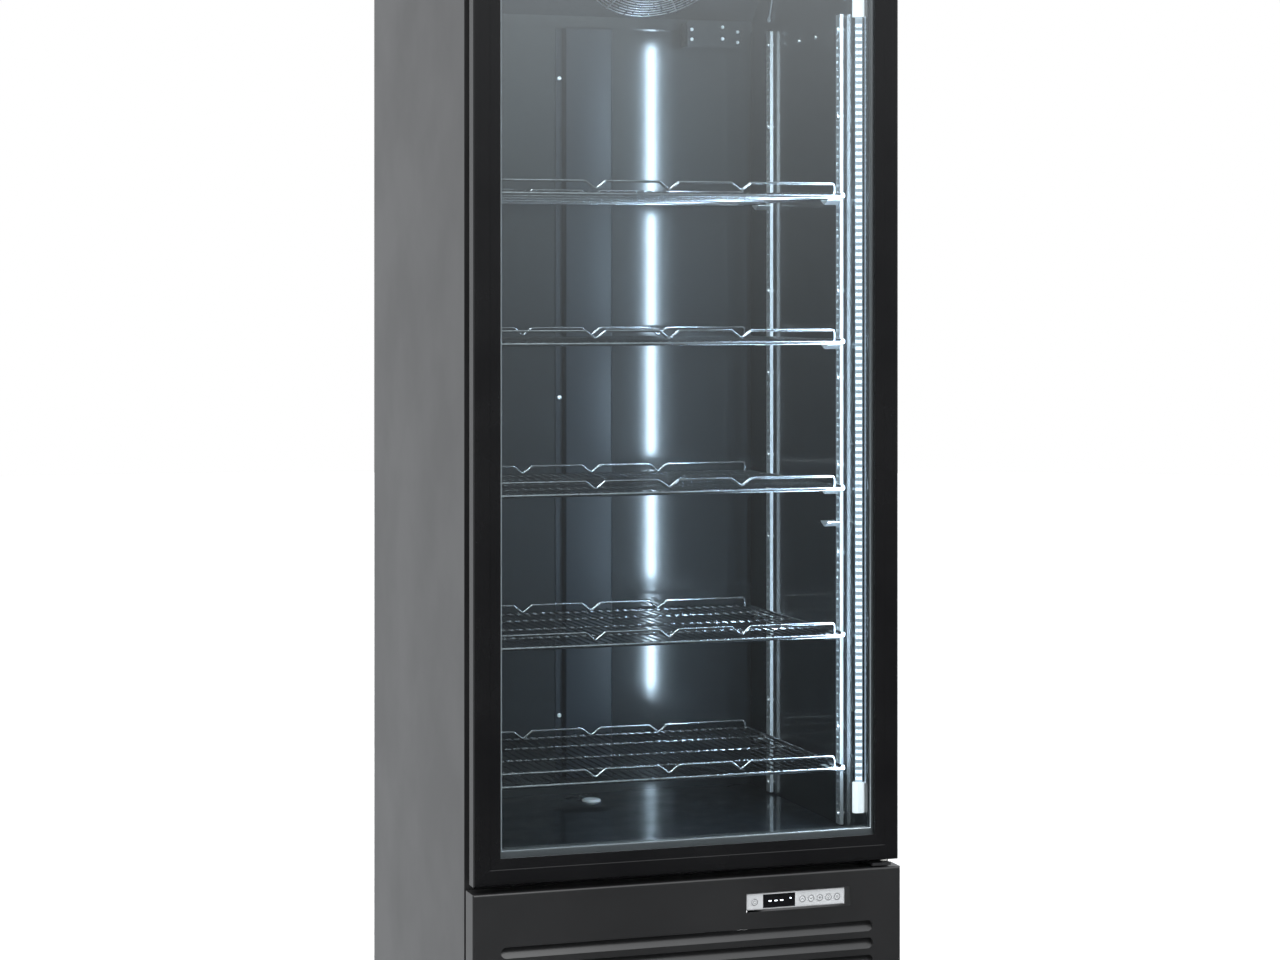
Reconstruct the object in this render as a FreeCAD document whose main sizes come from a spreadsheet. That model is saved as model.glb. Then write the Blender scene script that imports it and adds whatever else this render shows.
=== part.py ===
"""Upright glass-door display refrigerator, built as separate sheet, glass, wire and machine pieces.

Frame: millimetres, +Z up, the door faces -Y, X = 0 at the middle of the cabinet, and the origin
on the floor under the middle of the cabinet.
"""
import FreeCAD
import Part
import Sketcher
import math
import os
import re

V = FreeCAD.Vector
doc = FreeCAD.newDocument("display_fridge")

# ---------------------------------------------------------------- driving sizes

SIZES = {
    "cab_width": 650.0,
    "cab_depth": 604.0,
    "cab_height": 1900.0,
    "foot_height": 50.0,
    "foot_x": 270.0,
    "foot_y": 250.0,
    "pad_radius": 20.0,
    "pad_tall": 14.0,
    "collar_tall": 8.0,
    "stem_radius": 6.0,
    "tray_rim": 28.0,
    "tray_sheet": 2.0,
    "skin": 1.2,
    "skin_return": 14.0,
    "body_setback": 46.7,
    "panel_top": 310.0,
    "panel_depth": 37.6,
    "slot_count": 7.0,
    "slot_pitch": 25.2,
    "slot_drop": 76.0,
    "slot_tall": 16.0,
    "slot_left": -284.0,
    "slot_right": 281.0,
    "window_left": 83.0,
    "window_right": 244.7,
    "window_bottom": 258.0,
    "window_top": 285.4,
    "bore_half": 296.0,
    "bore_floor": 344.0,
    "bore_ceiling": 1840.0,
    "bore_back": 243.0,
    "liner": 1.2,
    "sill_top": 360.0,
    "floor_skin": 296.0,
    "frame_deep": 8.0,
    "door_half": 323.0,
    "door_bottom": 320.0,
    "door_top": 1890.0,
    "door_thick": 26.3,
    "rail_wide": 38.5,
    "pane": 4.0,
    "pane_setback": 4.5,
    "cavity": 12.0,
    "pane_inset": 27.0,
    "spacer_wide": 11.0,
    "spacer_inset": 5.0,
    "spacer_lift": 5.0,
    "bead_wide": 16.0,
    "bead_deep": 0.9,
    "lip_deep": 1.4,
    "cap_x": -2.0,
    "cap_y": 173.0,
    "cap_radius": 15.0,
    "gasket_inset": 14.0,
    "gasket_wide": 12.0,
    "gasket_deep": 20.7,
    "hinge_x": 303.0,
    "hinge_setback": 13.0,
    "hinge_reach": 21.0,
    "hinge_sheet": 4.0,
    "hinge_leg": 56.0,
    "hinge_gap": 4.0,
    "pin_radius": 4.0,
    "pin_tall": 25.0,
    "bush_radius": 6.0,
    "pin_play": 0.05,
    "standard_wide": 16.0,
    "standard_gap": 3.0,
    "standard_deep": 8.5,
    "standard_foot": 3.0,
    "standard_front": -152.0,
    "standard_rear": 142.0,
    "standard_top": 1574.0,
    "notch_start": 12.0,
    "notch_pitch": 11.0,
    "notch_count": 109.0,
    "notch_tall": 4.6,
    "shelf_half": 277.6,
    "shelf_front": -202.0,
    "shelf_rear": 228.0,
    "wire_pitch": 13.7,
    "wire": 2.6,
    "rod": 6.0,
    "guard_rear": 181.0,
    "guard_half": 261.5,
    "guard_tall": 14.0,
    "guard_wire": 4.0,
    "duct_left": -29.0,
    "duct_right": 52.0,
    "duct_deep": 12.0,
    "duct_bottom": 372.0,
    "housing_bottom": 1580.0,
    "housing_lip": 230.0,
    "housing_lip_top": 1598.0,
    "housing_front": 34.0,
    "fan_x": 95.0,
    "fan_y": 134.0,
    "fan_tilt": 40.0,
    "lamp_y": -232.0,
    "lamp_bottom": 379.0,
    "lamp_top": 1608.0,
    "lamp_cap": 45.0,
    "bowl_low": 212.0,
    "fan_radius": 95.0,
    "cooler_fan_radius": 98.0,
    "screen_left": 110.0,
    "screen_right": 160.0,
    "button_radius": 5.0,
    "button_play": 0.3,
}

SHELF_LEVELS = (444.6, 644.0, 864.0, 1083.0, 1301.5)
ROD_SHARES = (0.0, 0.27, 0.52, 0.78)
DUCT_SCREWS = (1498.0, 984.0, 472.0)
TERMINAL_SCREWS = ((176.0, 12.0), (176.0, 28.0), (229.0, 14.0), (229.0, 33.0), (255.0, 9.0), (255.0, 26.0))
WALL_SCREWS = (28.0, -42.0)

sheet = doc.addObject("Spreadsheet::Sheet", "sizes")
for row, (alias, number) in enumerate(SIZES.items(), start=1):
    sheet.set(f"A{row}", alias)
    sheet.set(f"B{row}", str(number))
    sheet.setAlias(f"B{row}", alias)
doc.recompute()

FRONT = "(-cab_depth / 2)"
BACK = "(cab_depth / 2)"
SIDE = "(cab_width / 2)"
BODY_FRONT = "(-cab_depth / 2 + body_setback)"
FRAME_BACK = "(-cab_depth / 2 + body_setback + skin + frame_deep)"
DOOR_BACK = "(-cab_depth / 2 + door_thick)"


def ex(text):
    """Point every size name in an expression at the sheet."""
    return re.sub(r"[a-z_]+(?![a-z_(])", lambda hit: "sizes." + hit.group(0), str(text))


def num(text):
    """The present value of an expression in size names."""
    return float(sheet.evalExpression(ex(text)))


# ---------------------------------------------------------------- building blocks

NODES = []


def node(item, name):
    """Name a finished sub-part; its label names its file."""
    item.Label = name
    NODES.append(item)
    return item


def bind_place(item, place):
    for axis, text in zip("xyz", place):
        item.setExpression(f"Placement.Base.{axis}", ex(text))


def box(name, low, high):
    """A box from its low corner to its high corner."""
    item = doc.addObject("Part::Box", name)
    for field, near, far in zip(("Length", "Width", "Height"), low, high):
        item.setExpression(field, ex(f"({far}) - ({near})"))
    bind_place(item, low)
    return item


def rod(name, radius, length, base, direction=(0, 0, 1)):
    """A cylinder that starts at base and runs along direction."""
    item = doc.addObject("Part::Cylinder", name)
    item.setExpression("Radius", ex(radius))
    item.setExpression("Height", ex(length))
    item.Placement.Rotation = FreeCAD.Rotation(V(0, 0, 1), V(*direction))
    bind_place(item, base)
    return item


def fuse(name, items):
    item = doc.addObject("Part::MultiFuse", name)
    item.Shapes = items
    return item


def cut(name, base, tool):
    item = doc.addObject("Part::Cut", name)
    item.Base = base
    item.Tool = tool
    return item


def group(name, items):
    """Separate solids kept together in one sub-part."""
    item = doc.addObject("Part::Compound", name)
    item.Links = items
    return item


def soften(name, base, radius, pick):
    """Round the edges of a piece that pick chooses."""
    doc.recompute()
    item = doc.addObject("Part::Fillet", name)
    item.Base = base
    chosen = [i for i, edge in enumerate(base.Shape.Edges, start=1) if pick(edge)]
    item.Edges = [(i, radius, radius) for i in chosen]
    return item


def solid(name, shape, place=(0, 0, 0)):
    """A sub-part whose shape comes from Part's own functions."""
    item = doc.addObject("Part::Feature", name)
    item.Shape = shape
    item.Placement = FreeCAD.Placement(V(*place), FreeCAD.Rotation())
    return item


def origin_feature(body, role):
    return next(item for item in body.Origin.OriginFeatures if item.Role == role)


def outline(body, role, points, offset="0"):
    """A closed sketch of straight sides with every corner bound to the sheet."""
    sketch = body.newObject("Sketcher::SketchObject", body.Name + "_outline")
    sketch.AttachmentSupport = [(origin_feature(body, role), "")]
    sketch.MapMode = "FlatFace"
    sketch.setExpression("AttachmentOffset.Base.z", ex(offset))
    corners = [V(num(x), num(y), 0) for x, y in points]
    total = len(corners)
    for i in range(total):
        sketch.addGeometry(Part.LineSegment(corners[i], corners[(i + 1) % total]), False)
    for i in range(total):
        sketch.addConstraint(Sketcher.Constraint("Coincident", i, 2, (i + 1) % total, 1))
    for i, pair in enumerate(points):
        for kind, text in zip(("DistanceX", "DistanceY"), pair):
            tag = f"{kind}_{i}"
            rule = sketch.addConstraint(Sketcher.Constraint(kind, -1, 1, i, 1, num(text)))
            sketch.renameConstraint(rule, tag)
            sketch.setExpression(f"Constraints.{tag}", ex(text))
    return sketch


def prism(name, role, points, length, offset="0", midplane=False):
    """A body padded from one outline."""
    body = doc.addObject("PartDesign::Body", name)
    sketch = outline(body, role, points, offset)
    pad = body.newObject("PartDesign::Pad", name + "_pad")
    pad.Profile = sketch
    pad.setExpression("Length", ex(length))
    pad.Midplane = midplane
    return body


def pocket(body, role, points, offset="0"):
    """A pocket through the whole body, both ways from its sketch."""
    sketch = outline(body, role, points, offset)
    hole = body.newObject("PartDesign::Pocket", body.Name + "_pocket")
    hole.Profile = sketch
    hole.Type = "ThroughAll"
    hole.Midplane = True
    return hole


def mitred_bar(name, profile, length, wide):
    """A straight bar with 45 degree ends: x along it, y from its outer edge, z its depth."""
    body = prism(name, "YZ_Plane", profile, length, midplane=True)
    half = f"({length}) / 2"
    for sign in ("", "-"):
        corner = (f"{sign}({half})", "0")
        inner = (f"{sign}({half} - ({wide}))", wide)
        outer = (f"{sign}({half})", wide)
        pocket(body, "XY_Plane", [corner, inner, outer])
    return body


BAR_TURN = FreeCAD.Rotation(FreeCAD.Matrix(-1, 0, 0, 0, 0, 0, 1, 0, 0, 1, 0, 0, 0, 0, 0, 1))


def bar_ring(prefix, profile, half, bottom, top, face, wide):
    """Four mitred bars round an upright rectangle, front faces on the plane y = face."""
    bars = {}
    middle = f"(({bottom}) + ({top})) / 2"
    sides = {
        "bottom": (0, f"2 * ({half})", ("0", face, bottom)),
        "left": (90, f"({top}) - ({bottom})", (f"-({half})", face, middle)),
        "top": (180, f"2 * ({half})", ("0", face, top)),
        "right": (270, f"({top}) - ({bottom})", (half, face, middle)),
    }
    for side, (turn, length, place) in sides.items():
        bar = mitred_bar(f"{prefix}_{side}", profile, length, wide)
        bar.Placement.Rotation = FreeCAD.Rotation(V(0, 1, 0), turn) * BAR_TURN
        bind_place(bar, place)
        bars[side] = bar
    return bars


def path_wire(points, bend):
    """Straight runs joined by tangent arcs of one bend radius."""
    spots = [V(*point) for point in points]
    edges = []
    start = spots[0]
    for before, corner, after in zip(spots, spots[1:], spots[2:]):
        inward = (before - corner).normalize()
        outward = (after - corner).normalize()
        half_angle = inward.getAngle(outward) / 2
        reach = bend / math.tan(half_angle)
        first = corner + inward * reach
        last = corner + outward * reach
        toward = (inward + outward).normalize()
        middle = corner + toward * (bend / math.sin(half_angle) - bend)
        edges.append(Part.LineSegment(start, first).toShape())
        edges.append(Part.Arc(first, middle, last).toShape())
        start = last
    edges.append(Part.LineSegment(start, spots[-1]).toShape())
    return Part.Wire(edges)


def tube(points, radius, bend):
    """A round wire or pipe along a path with rounded corners."""
    path = path_wire(points, bend)
    along = V(*points[1]) - V(*points[0])
    ring = Part.Wire([Part.Circle(V(*points[0]), along, radius).toShape()])
    return path.makePipeShell([ring], True, False)


# ---------------------------------------------------------------- cabinet skins


def build_skins():
    inner = f"({SIDE} - skin)"
    lip = f"({SIDE} - skin_return)"
    for side, sign in (("left", "-"), ("right", "")):
        corners = [
            (f"{sign}{SIDE}", BODY_FRONT), (f"{sign}{SIDE}", BACK), (f"{sign}{lip}", BACK),
            (f"{sign}{lip}", f"{BACK} - skin"), (f"{sign}{inner}", f"{BACK} - skin"),
            (f"{sign}{inner}", f"{BODY_FRONT} + skin"), (f"{sign}{lip}", f"{BODY_FRONT} + skin"),
            (f"{sign}{lip}", BODY_FRONT),
        ]
        skin = prism(f"side_{side}", "XY_Plane", corners, "cab_height - foot_height", "foot_height")
        node(skin, f"side_panel_{side}")

    top = box("top", (f"-{inner}", f"{BODY_FRONT} + skin", "cab_height - skin"),
              (inner, f"{BACK} - skin", "cab_height"))
    node(top, "top_panel")

    rear = box("rear_sheet", (f"-{inner}", f"{BACK} - 2 * skin", "floor_skin"),
               (inner, f"{BACK} - skin", "cab_height - skin"))
    under = box("under_sheet", (f"-{inner}", f"{FRAME_BACK}", "floor_skin - skin"),
                (inner, f"{BACK} - skin", "floor_skin"))
    node(group("rear_sheets", [rear, under]), "rear_panel")


def build_frame_and_liner():
    inner = f"({SIDE} - skin)"
    face = f"{BODY_FRONT} + skin"
    left = box("frame_left", (f"-{inner}", face, "sill_top"),
               ("-bore_half", FRAME_BACK, "bore_ceiling"))
    right = box("frame_right", ("bore_half", face, "sill_top"), (inner, FRAME_BACK, "bore_ceiling"))
    head = box("frame_head", (f"-{inner}", face, "bore_ceiling"),
               (inner, FRAME_BACK, "cab_height - skin"))
    sill = box("frame_sill", (f"-{inner}", face, "floor_skin - skin"),
               (inner, FRAME_BACK, "sill_top"))
    node(group("frame_bars", [left, right, head, sill]), "opening_frame")

    skin = "(bore_half + liner)"
    outside = "bore_back + liner"
    left = box("liner_left", (f"-{skin}", FRAME_BACK, "bore_floor"),
               ("-bore_half", "bore_back", "bore_ceiling"))
    right = box("liner_right", ("bore_half", FRAME_BACK, "bore_floor"),
                (skin, "bore_back", "bore_ceiling"))
    back = box("liner_back", (f"-{skin}", "bore_back", "bore_floor"), (skin, outside, "bore_ceiling"))
    node(group("liner_sheets", [left, right, back]), "liner_walls")
    floor = box("liner_base", (f"-{skin}", FRAME_BACK, "bore_floor - liner"),
                (skin, outside, "bore_floor"))
    node(floor, "liner_floor")
    ceiling = box("liner_lid", (f"-{skin}", FRAME_BACK, "bore_ceiling"),
                  (skin, outside, "bore_ceiling + liner"))
    node(ceiling, "liner_ceiling")

    block = box("foam_block", (f"-{inner}", FRAME_BACK, "floor_skin"),
                (inner, f"{BACK} - 2 * skin", "cab_height - skin"))
    hollow = box("foam_hollow", (f"-{skin}", FRAME_BACK, "bore_floor - liner"),
                 (skin, outside, "bore_ceiling + liner"))
    node(cut("foam_shell", block, hollow), "insulation")


def build_base():
    half = f"({SIDE} - skin_return - 0.5)"
    front = f"({FRONT} + 14)"
    rear = f"({BACK} - skin - 0.4)"
    outer = box("tray_outer", (f"-{half}", front, "foot_height"), (half, rear, "foot_height + tray_rim"))
    hollow = box("tray_hollow",
                 (f"-{half} + tray_sheet", f"{front} + tray_sheet", "foot_height + tray_sheet"),
                 (f"{half} - tray_sheet", f"{rear} - tray_sheet", "foot_height + tray_rim + 2"))
    node(cut("tray", outer, hollow), "base_tray")

    feet = []
    for x in ("-foot_x", "foot_x"):
        for y in ("-foot_y", "foot_y"):
            pad = rod("foot_pad", "pad_radius", "pad_tall", (x, y, "0"))
            collar = doc.addObject("Part::Cone", "foot_collar")
            collar.setExpression("Radius1", ex("pad_radius"))
            collar.setExpression("Radius2", ex("stem_radius + 5"))
            collar.setExpression("Height", ex("collar_tall"))
            bind_place(collar, (x, y, "pad_tall"))
            stem = rod("foot_stem", "stem_radius", "foot_height - pad_tall - collar_tall",
                       (x, y, "pad_tall + collar_tall"))
            feet.append(fuse("foot", [pad, collar, stem]))
    node(group("feet", feet), "levelling_feet")


def build_lower_panel():
    back = f"({FRONT} + panel_depth)"
    shell = box("panel_outer", (f"-{SIDE}", FRONT, "foot_height"), (SIDE, back, "panel_top"))
    shell = soften("panel_rounded", shell, 3.0, is_front_edge)
    hollow = box("panel_hollow", (f"-{SIDE} + skin", f"{FRONT} + skin", "foot_height - 1"),
                 (f"{SIDE} - skin", f"{back} + 1", "panel_top - skin"))
    window = box("panel_window", ("window_left", f"{FRONT} - 1", "window_bottom"),
                 ("window_right", f"{FRONT} + skin + 1", "window_top"))
    tools = [hollow, window]
    blades = []
    for i in range(int(num("slot_count"))):
        top = f"(panel_top - slot_drop - {i} * slot_pitch)"
        bottom = f"({top} - slot_tall)"
        middle = box("slot", ("slot_left + slot_tall / 2", f"{FRONT} - 1", bottom),
                     ("slot_right - slot_tall / 2", f"{FRONT} + skin + 1", top))
        ends = [rod("slot_end", "slot_tall / 2", "skin + 2",
                    (x, f"{FRONT} + skin + 1", f"{bottom} + slot_tall / 2"), (0, -1, 0))
                for x in ("slot_left + slot_tall / 2", "slot_right - slot_tall / 2")]
        tools += [middle] + ends
        points = [
            (f"{FRONT} + 0.4", f"{bottom} - 1.6"), (f"{FRONT} + 0.4", f"{bottom} - 0.2"),
            (f"{FRONT} + 10", f"{top} - 2.5"), (f"{FRONT} + 11", f"{top} - 4"),
        ]
        blade = prism(f"louvre_{i}", "YZ_Plane", points, "slot_right - slot_left", "slot_left")
        blades.append(blade)
    holed = cut("panel_holed", shell, fuse("panel_tools", tools))
    node(fuse("panel_whole", [holed] + blades), "lower_panel")


def is_front_edge(edge):
    """An edge that lies on the lower panel's front face."""
    face = num(FRONT)
    return abs(edge.BoundBox.YMin - face) < 0.01 and abs(edge.BoundBox.YMax - face) < 0.01


# ---------------------------------------------------------------- door


def build_door():
    deep = "door_thick"
    wide = "rail_wide"
    pocket_in = "(rail_wide - 12.5)"
    profile = [
        ("0", deep), ("0", "6"), ("1.2", "3"), ("3", "1.2"), ("6", "0.4"), ("9.5", "0.4"),
        ("10.5", "0"), ("rail_wide - bead_wide", "0"), ("rail_wide - bead_wide + 0.8", "bead_deep"),
        (wide, "lip_deep"),
        (wide, "pane_setback - 0.1"), (pocket_in, "pane_setback - 0.1"),
        (pocket_in, "pane_setback + 2 * pane + cavity + 0.1"),
        ("rail_wide - 5", "pane_setback + 2 * pane + cavity + 0.1"), ("rail_wide - 5", deep),
    ]
    bars = bar_ring("door_bar", profile, "door_half", "door_bottom", "door_top", FRONT, wide)
    bore_y = f"{FRONT} + hinge_setback"
    bores = [
        rod("bore_low", "bush_radius", "pin_tall + 1", ("hinge_x", bore_y, "door_bottom - 1")),
        rod("bore_high", "bush_radius", "pin_tall + 1", ("hinge_x", bore_y, "door_top - pin_tall")),
    ]
    node(bars["left"], "door_stile_left")
    tool = fuse("hinge_bores", bores)
    node(cut("stile_bored", bars["right"], tool), "door_stile_right")
    node(cut("rail_low_bored", bars["bottom"], tool), "door_rail_bottom")
    node(cut("rail_high_bored", bars["top"], tool), "door_rail_top")

    x = "(door_half - pane_inset)"
    z_low = "(door_bottom + pane_inset)"
    z_high = "(door_top - pane_inset)"
    y_front = f"({FRONT} + pane_setback)"
    y_rear = f"({y_front} + pane + cavity)"
    node(box("pane_front", (f"-{x}", y_front, z_low), (x, f"{y_front} + pane", z_high)), "door_glass_front")
    node(box("pane_rear", (f"-{x}", y_rear, z_low), (x, f"{y_rear} + pane", z_high)), "door_glass_rear")
    spacer_profile = [("0", "0"), ("spacer_wide", "0"), ("spacer_wide", "cavity"), ("0", "cavity")]
    spacer = bar_ring("spacer_bar", spacer_profile, f"{x} - spacer_inset",
                      f"{z_low} + spacer_inset + spacer_lift", f"{z_high} - spacer_inset",
                      f"{y_front} + pane", "spacer_wide")
    node(group("spacer_bars", list(spacer.values())), "glass_spacer")

    gasket_profile = [
        ("0", "0"), ("gasket_wide", "0"), ("gasket_wide", "3"), ("gasket_wide - 3", "5"),
        ("gasket_wide - 3", "gasket_deep / 2 - 1"), ("gasket_wide - 1", "gasket_deep / 2 + 1"),
        ("gasket_wide - 3", "gasket_deep / 2 + 3"), ("gasket_wide - 3", "gasket_deep - 5"),
        ("gasket_wide", "gasket_deep - 4"), ("gasket_wide", "gasket_deep"),
        ("0", "gasket_deep"), ("0", "gasket_deep - 4"), ("3", "gasket_deep - 5"),
        ("3", "gasket_deep / 2 + 3"), ("1", "gasket_deep / 2 + 1"), ("3", "gasket_deep / 2 - 1"),
        ("3", "5"), ("0", "3"),
    ]
    gasket = bar_ring("gasket_bar", gasket_profile, "door_half - gasket_inset", "door_bottom + gasket_inset",
                      "door_top - gasket_inset", DOOR_BACK, "gasket_wide")
    node(group("gasket_bars", list(gasket.values())), "door_gasket")

    bushes = []
    for low, high in (("door_bottom - 2", "door_bottom + pin_tall"),
                      ("door_top - pin_tall", "door_top + 1.5")):
        sleeve = rod("bush_sleeve", "bush_radius", f"({high}) - ({low})", ("hinge_x", bore_y, low))
        hole = rod("bush_hole", "pin_radius + pin_play", f"({high}) - ({low}) + 2",
                   ("hinge_x", bore_y, f"{low} - 1"))
        bushes.append(cut("bush", sleeve, hole))
    node(group("bushes", bushes), "hinge_bushes")


def hinge(name, bottom, leg_low, leg_high, pin_low, pin_length):
    """One hinge bracket: a plate under or over the door, a leg on the cabinet and the pin."""
    y_near, y_far = f"{FRONT} + 4", BODY_FRONT
    x_low, x_high = "hinge_x - hinge_reach", "hinge_x + 8"
    plate = box(f"{name}_plate", (x_low, y_near, bottom), (x_high, y_far, f"{bottom} + hinge_sheet"))
    leg = box(f"{name}_leg", (x_low, f"{y_far} - hinge_sheet", leg_low), (x_high, y_far, leg_high))
    pin = rod(f"{name}_pin", "pin_radius", pin_length, ("hinge_x", f"{FRONT} + hinge_setback", pin_low))
    return fuse(name, [plate, leg, pin])


def build_hinges():
    low_top = "door_bottom - hinge_gap"
    low = hinge("low_hinge", f"{low_top} - hinge_sheet", f"{low_top} - hinge_leg", low_top,
                f"{low_top} - 1", "pin_tall + 2")
    high_bottom = "door_top + 3"
    high = hinge("high_hinge", high_bottom, f"{high_bottom} - 14", f"{high_bottom} + hinge_sheet",
                 "door_top - pin_tall + 3", "pin_tall + 1")
    node(group("hinges", [low, high]), "hinge_brackets")


# ---------------------------------------------------------------- inside the cabinet


def build_standard(side, place, x_sign, y_middle):
    """A slotted shelf standard: a shallow channel with a ladder of notches."""
    name = f"standard_{side}_{place}"
    body = doc.addObject("PartDesign::Body", name)
    near = "standard_gap"
    far = "standard_deep"
    corners = [
        ("0", near), ("0", far), ("standard_wide", far), ("standard_wide", near),
        ("standard_wide - skin", near), ("standard_wide - skin", f"{far} - skin"),
        ("skin", f"{far} - skin"), ("skin", near),
    ]
    sketch = outline(body, "XY_Plane", corners, "bore_floor + 4")
    pad = body.newObject("PartDesign::Pad", name + "_pad")
    pad.Profile = sketch
    pad.setExpression("Length", ex("standard_top - bore_floor - 4"))
    west, east = "standard_wide / 2 - 4", "standard_wide / 2 + 4"
    low, high = "bore_floor + notch_start", "bore_floor + notch_start + notch_tall"
    notch = outline(body, "XZ_Plane", [(west, low), (east, low), (east, high), (west, high)])
    hole = body.newObject("PartDesign::Pocket", name + "_notch")
    hole.Profile = notch
    hole.Type = "ThroughAll"
    hole.Midplane = True
    ladder = body.newObject("PartDesign::LinearPattern", name + "_ladder")
    ladder.Originals = [hole]
    ladder.Direction = (origin_feature(body, "Z_Axis"), [""])
    ladder.setExpression("Length", ex("notch_pitch * (notch_count - 1)"))
    ladder.Occurrences = int(num("notch_count"))
    body.Tip = ladder
    turn = 90 if x_sign > 0 else -90
    body.Placement.Rotation = FreeCAD.Rotation(V(0, 0, 1), turn)
    offset = "- standard_wide / 2" if x_sign > 0 else "+ standard_wide / 2"
    bind_place(body, (f"{x_sign} * bore_half", f"{y_middle} {offset}", "0"))
    feet = [rod(f"{name}_foot", "standard_foot", "standard_deep - 1.4",
                (f"{x_sign} * (bore_half - 0.2)", y_middle, str(height)), (-x_sign, 0, 0))
            for height in standard_fixings()]
    node(fuse(f"{name}_on_feet", [body] + feet), f"shelf_standard_{side}_{place}")


def standard_fixings():
    """Heights of a standard's stand-off feet and screws, on bridges that no clip covers."""
    heights = []
    bridge = (num("notch_pitch") + num("notch_tall")) / 2
    for step in range(0, int(num("notch_count")), 12):
        height = num("bore_floor + notch_start") + step * num("notch_pitch") + bridge
        if all(abs(height - (level - 12.0)) > 9.0 for level in SHELF_LEVELS):
            heights.append(round(height, 3))
    return heights


def build_standards():
    for side, x_sign in (("left", -1), ("right", 1)):
        for place, y_middle in (("front", "standard_front"), ("rear", "standard_rear")):
            build_standard(side, place, x_sign, y_middle)


def shelf_deck():
    """Welded wire deck: fine wires front to back on rods side to side, in one solid."""
    half = num("shelf_half")
    front = num("shelf_front")
    rear = num("shelf_rear")
    wire = num("wire")
    rod_size = num("rod")
    pitch = num("wire_pitch")
    bars = []
    count = int(2 * half / pitch)
    for i in range(count + 1):
        x = (i - count / 2) * pitch
        bars.append(Part.makeBox(wire, rear - front, wire, V(x - wire / 2, front, -wire)))
    for x in (-half, half):
        bars.append(Part.makeBox(rod_size, rear - front, rod_size, V(x - rod_size / 2, front, -rod_size)))
    rows = [front + (rear - front) * share for share in ROD_SHARES] + [rear - rod_size]
    for y in rows:
        bars.append(Part.makeBox(2 * half, rod_size, rod_size, V(-half, y, -wire / 2 - rod_size)))
    return bars[0].multiFuse(bars[1:]).removeSplitter()


def guard_rail(y):
    """Bottle guard: a bent rod with flat runs and a V down to the deck at three places."""
    half = num("guard_half")
    tall = num("guard_tall")
    radius = num("guard_wire") / 2
    dips = (-113.0, 0.0, 113.0)
    reach = 15.0
    low = radius + 0.3
    points = [(-half, y, 0.3), (-half, y, tall)]
    for x in dips:
        points += [(x - reach, y, tall), (x, y, low), (x + reach, y, tall)]
    points += [(half, y, tall), (half, y, 0.3)]
    return tube(points, radius, 3.0)


def build_shelves():
    deck = shelf_deck()
    rails = [guard_rail(num("shelf_front") + 2.5), guard_rail(num("guard_rear"))]
    whole = Part.makeCompound([deck] + rails)
    for number, level in enumerate(SHELF_LEVELS, start=1):
        node(solid(f"shelf_wires_{number}", whole.copy(), (0, 0, level)), f"shelf_{number}")


def clip_shape():
    """Shelf clip: a bent strip in a shallow V that stands out from a standard."""
    thick = 1.6
    outer = [V(0, -14, 0), V(0, -14, -thick), V(0, 0, -8), V(0, 14, -thick), V(0, 14, 0), V(0, 0, -8 + thick)]
    face = Part.Face(Part.makePolygon(outer + [outer[0]]))
    return face.extrude(V(22, 0, 0))


def build_clips():
    """Four clips under each shelf and one spare."""
    base = clip_shape()
    clips = []
    face = num("bore_half") - num("standard_deep") - 0.3
    drop = num("wire") / 2 + num("rod") + 0.5
    places = [(level - drop, side, y) for level in SHELF_LEVELS for side in (-1, 1)
              for y in (num("standard_front"), num("standard_rear"))]
    places.append((num("bore_floor + notch_start + 41 * notch_pitch"), 1, num("standard_front")))
    for level, side, y in places:
        clip = base.copy()
        start = -face if side < 0 else face - 22
        clip.translate(V(start, y, level))
        clips.append(clip)
    node(solid("clips", Part.makeCompound(clips)), "shelf_clips")


def build_air_duct():
    back = "bore_back"
    corners = [
        ("duct_left - 12", back), ("duct_left - 12", f"{back} - 2"), ("duct_left", f"{back} - 2"),
        ("duct_left + 3", f"{back} - duct_deep"), ("duct_right - 2", f"{back} - duct_deep"),
        ("duct_right", f"{back} - duct_deep + 2"), ("duct_right", back),
    ]
    duct = prism("duct", "XY_Plane", corners, "housing_bottom - 2 - duct_bottom", "duct_bottom")
    node(duct, "air_duct")

    base = rod("cap_disc", "cap_radius", "2", ("cap_x", "cap_y", "bore_floor"))
    dome = rod("cap_top", "cap_radius - 3", "1.5", ("cap_x", "cap_y", "bore_floor + 2"))
    node(fuse("cap", [base, dome]), "drain_cap")


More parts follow.
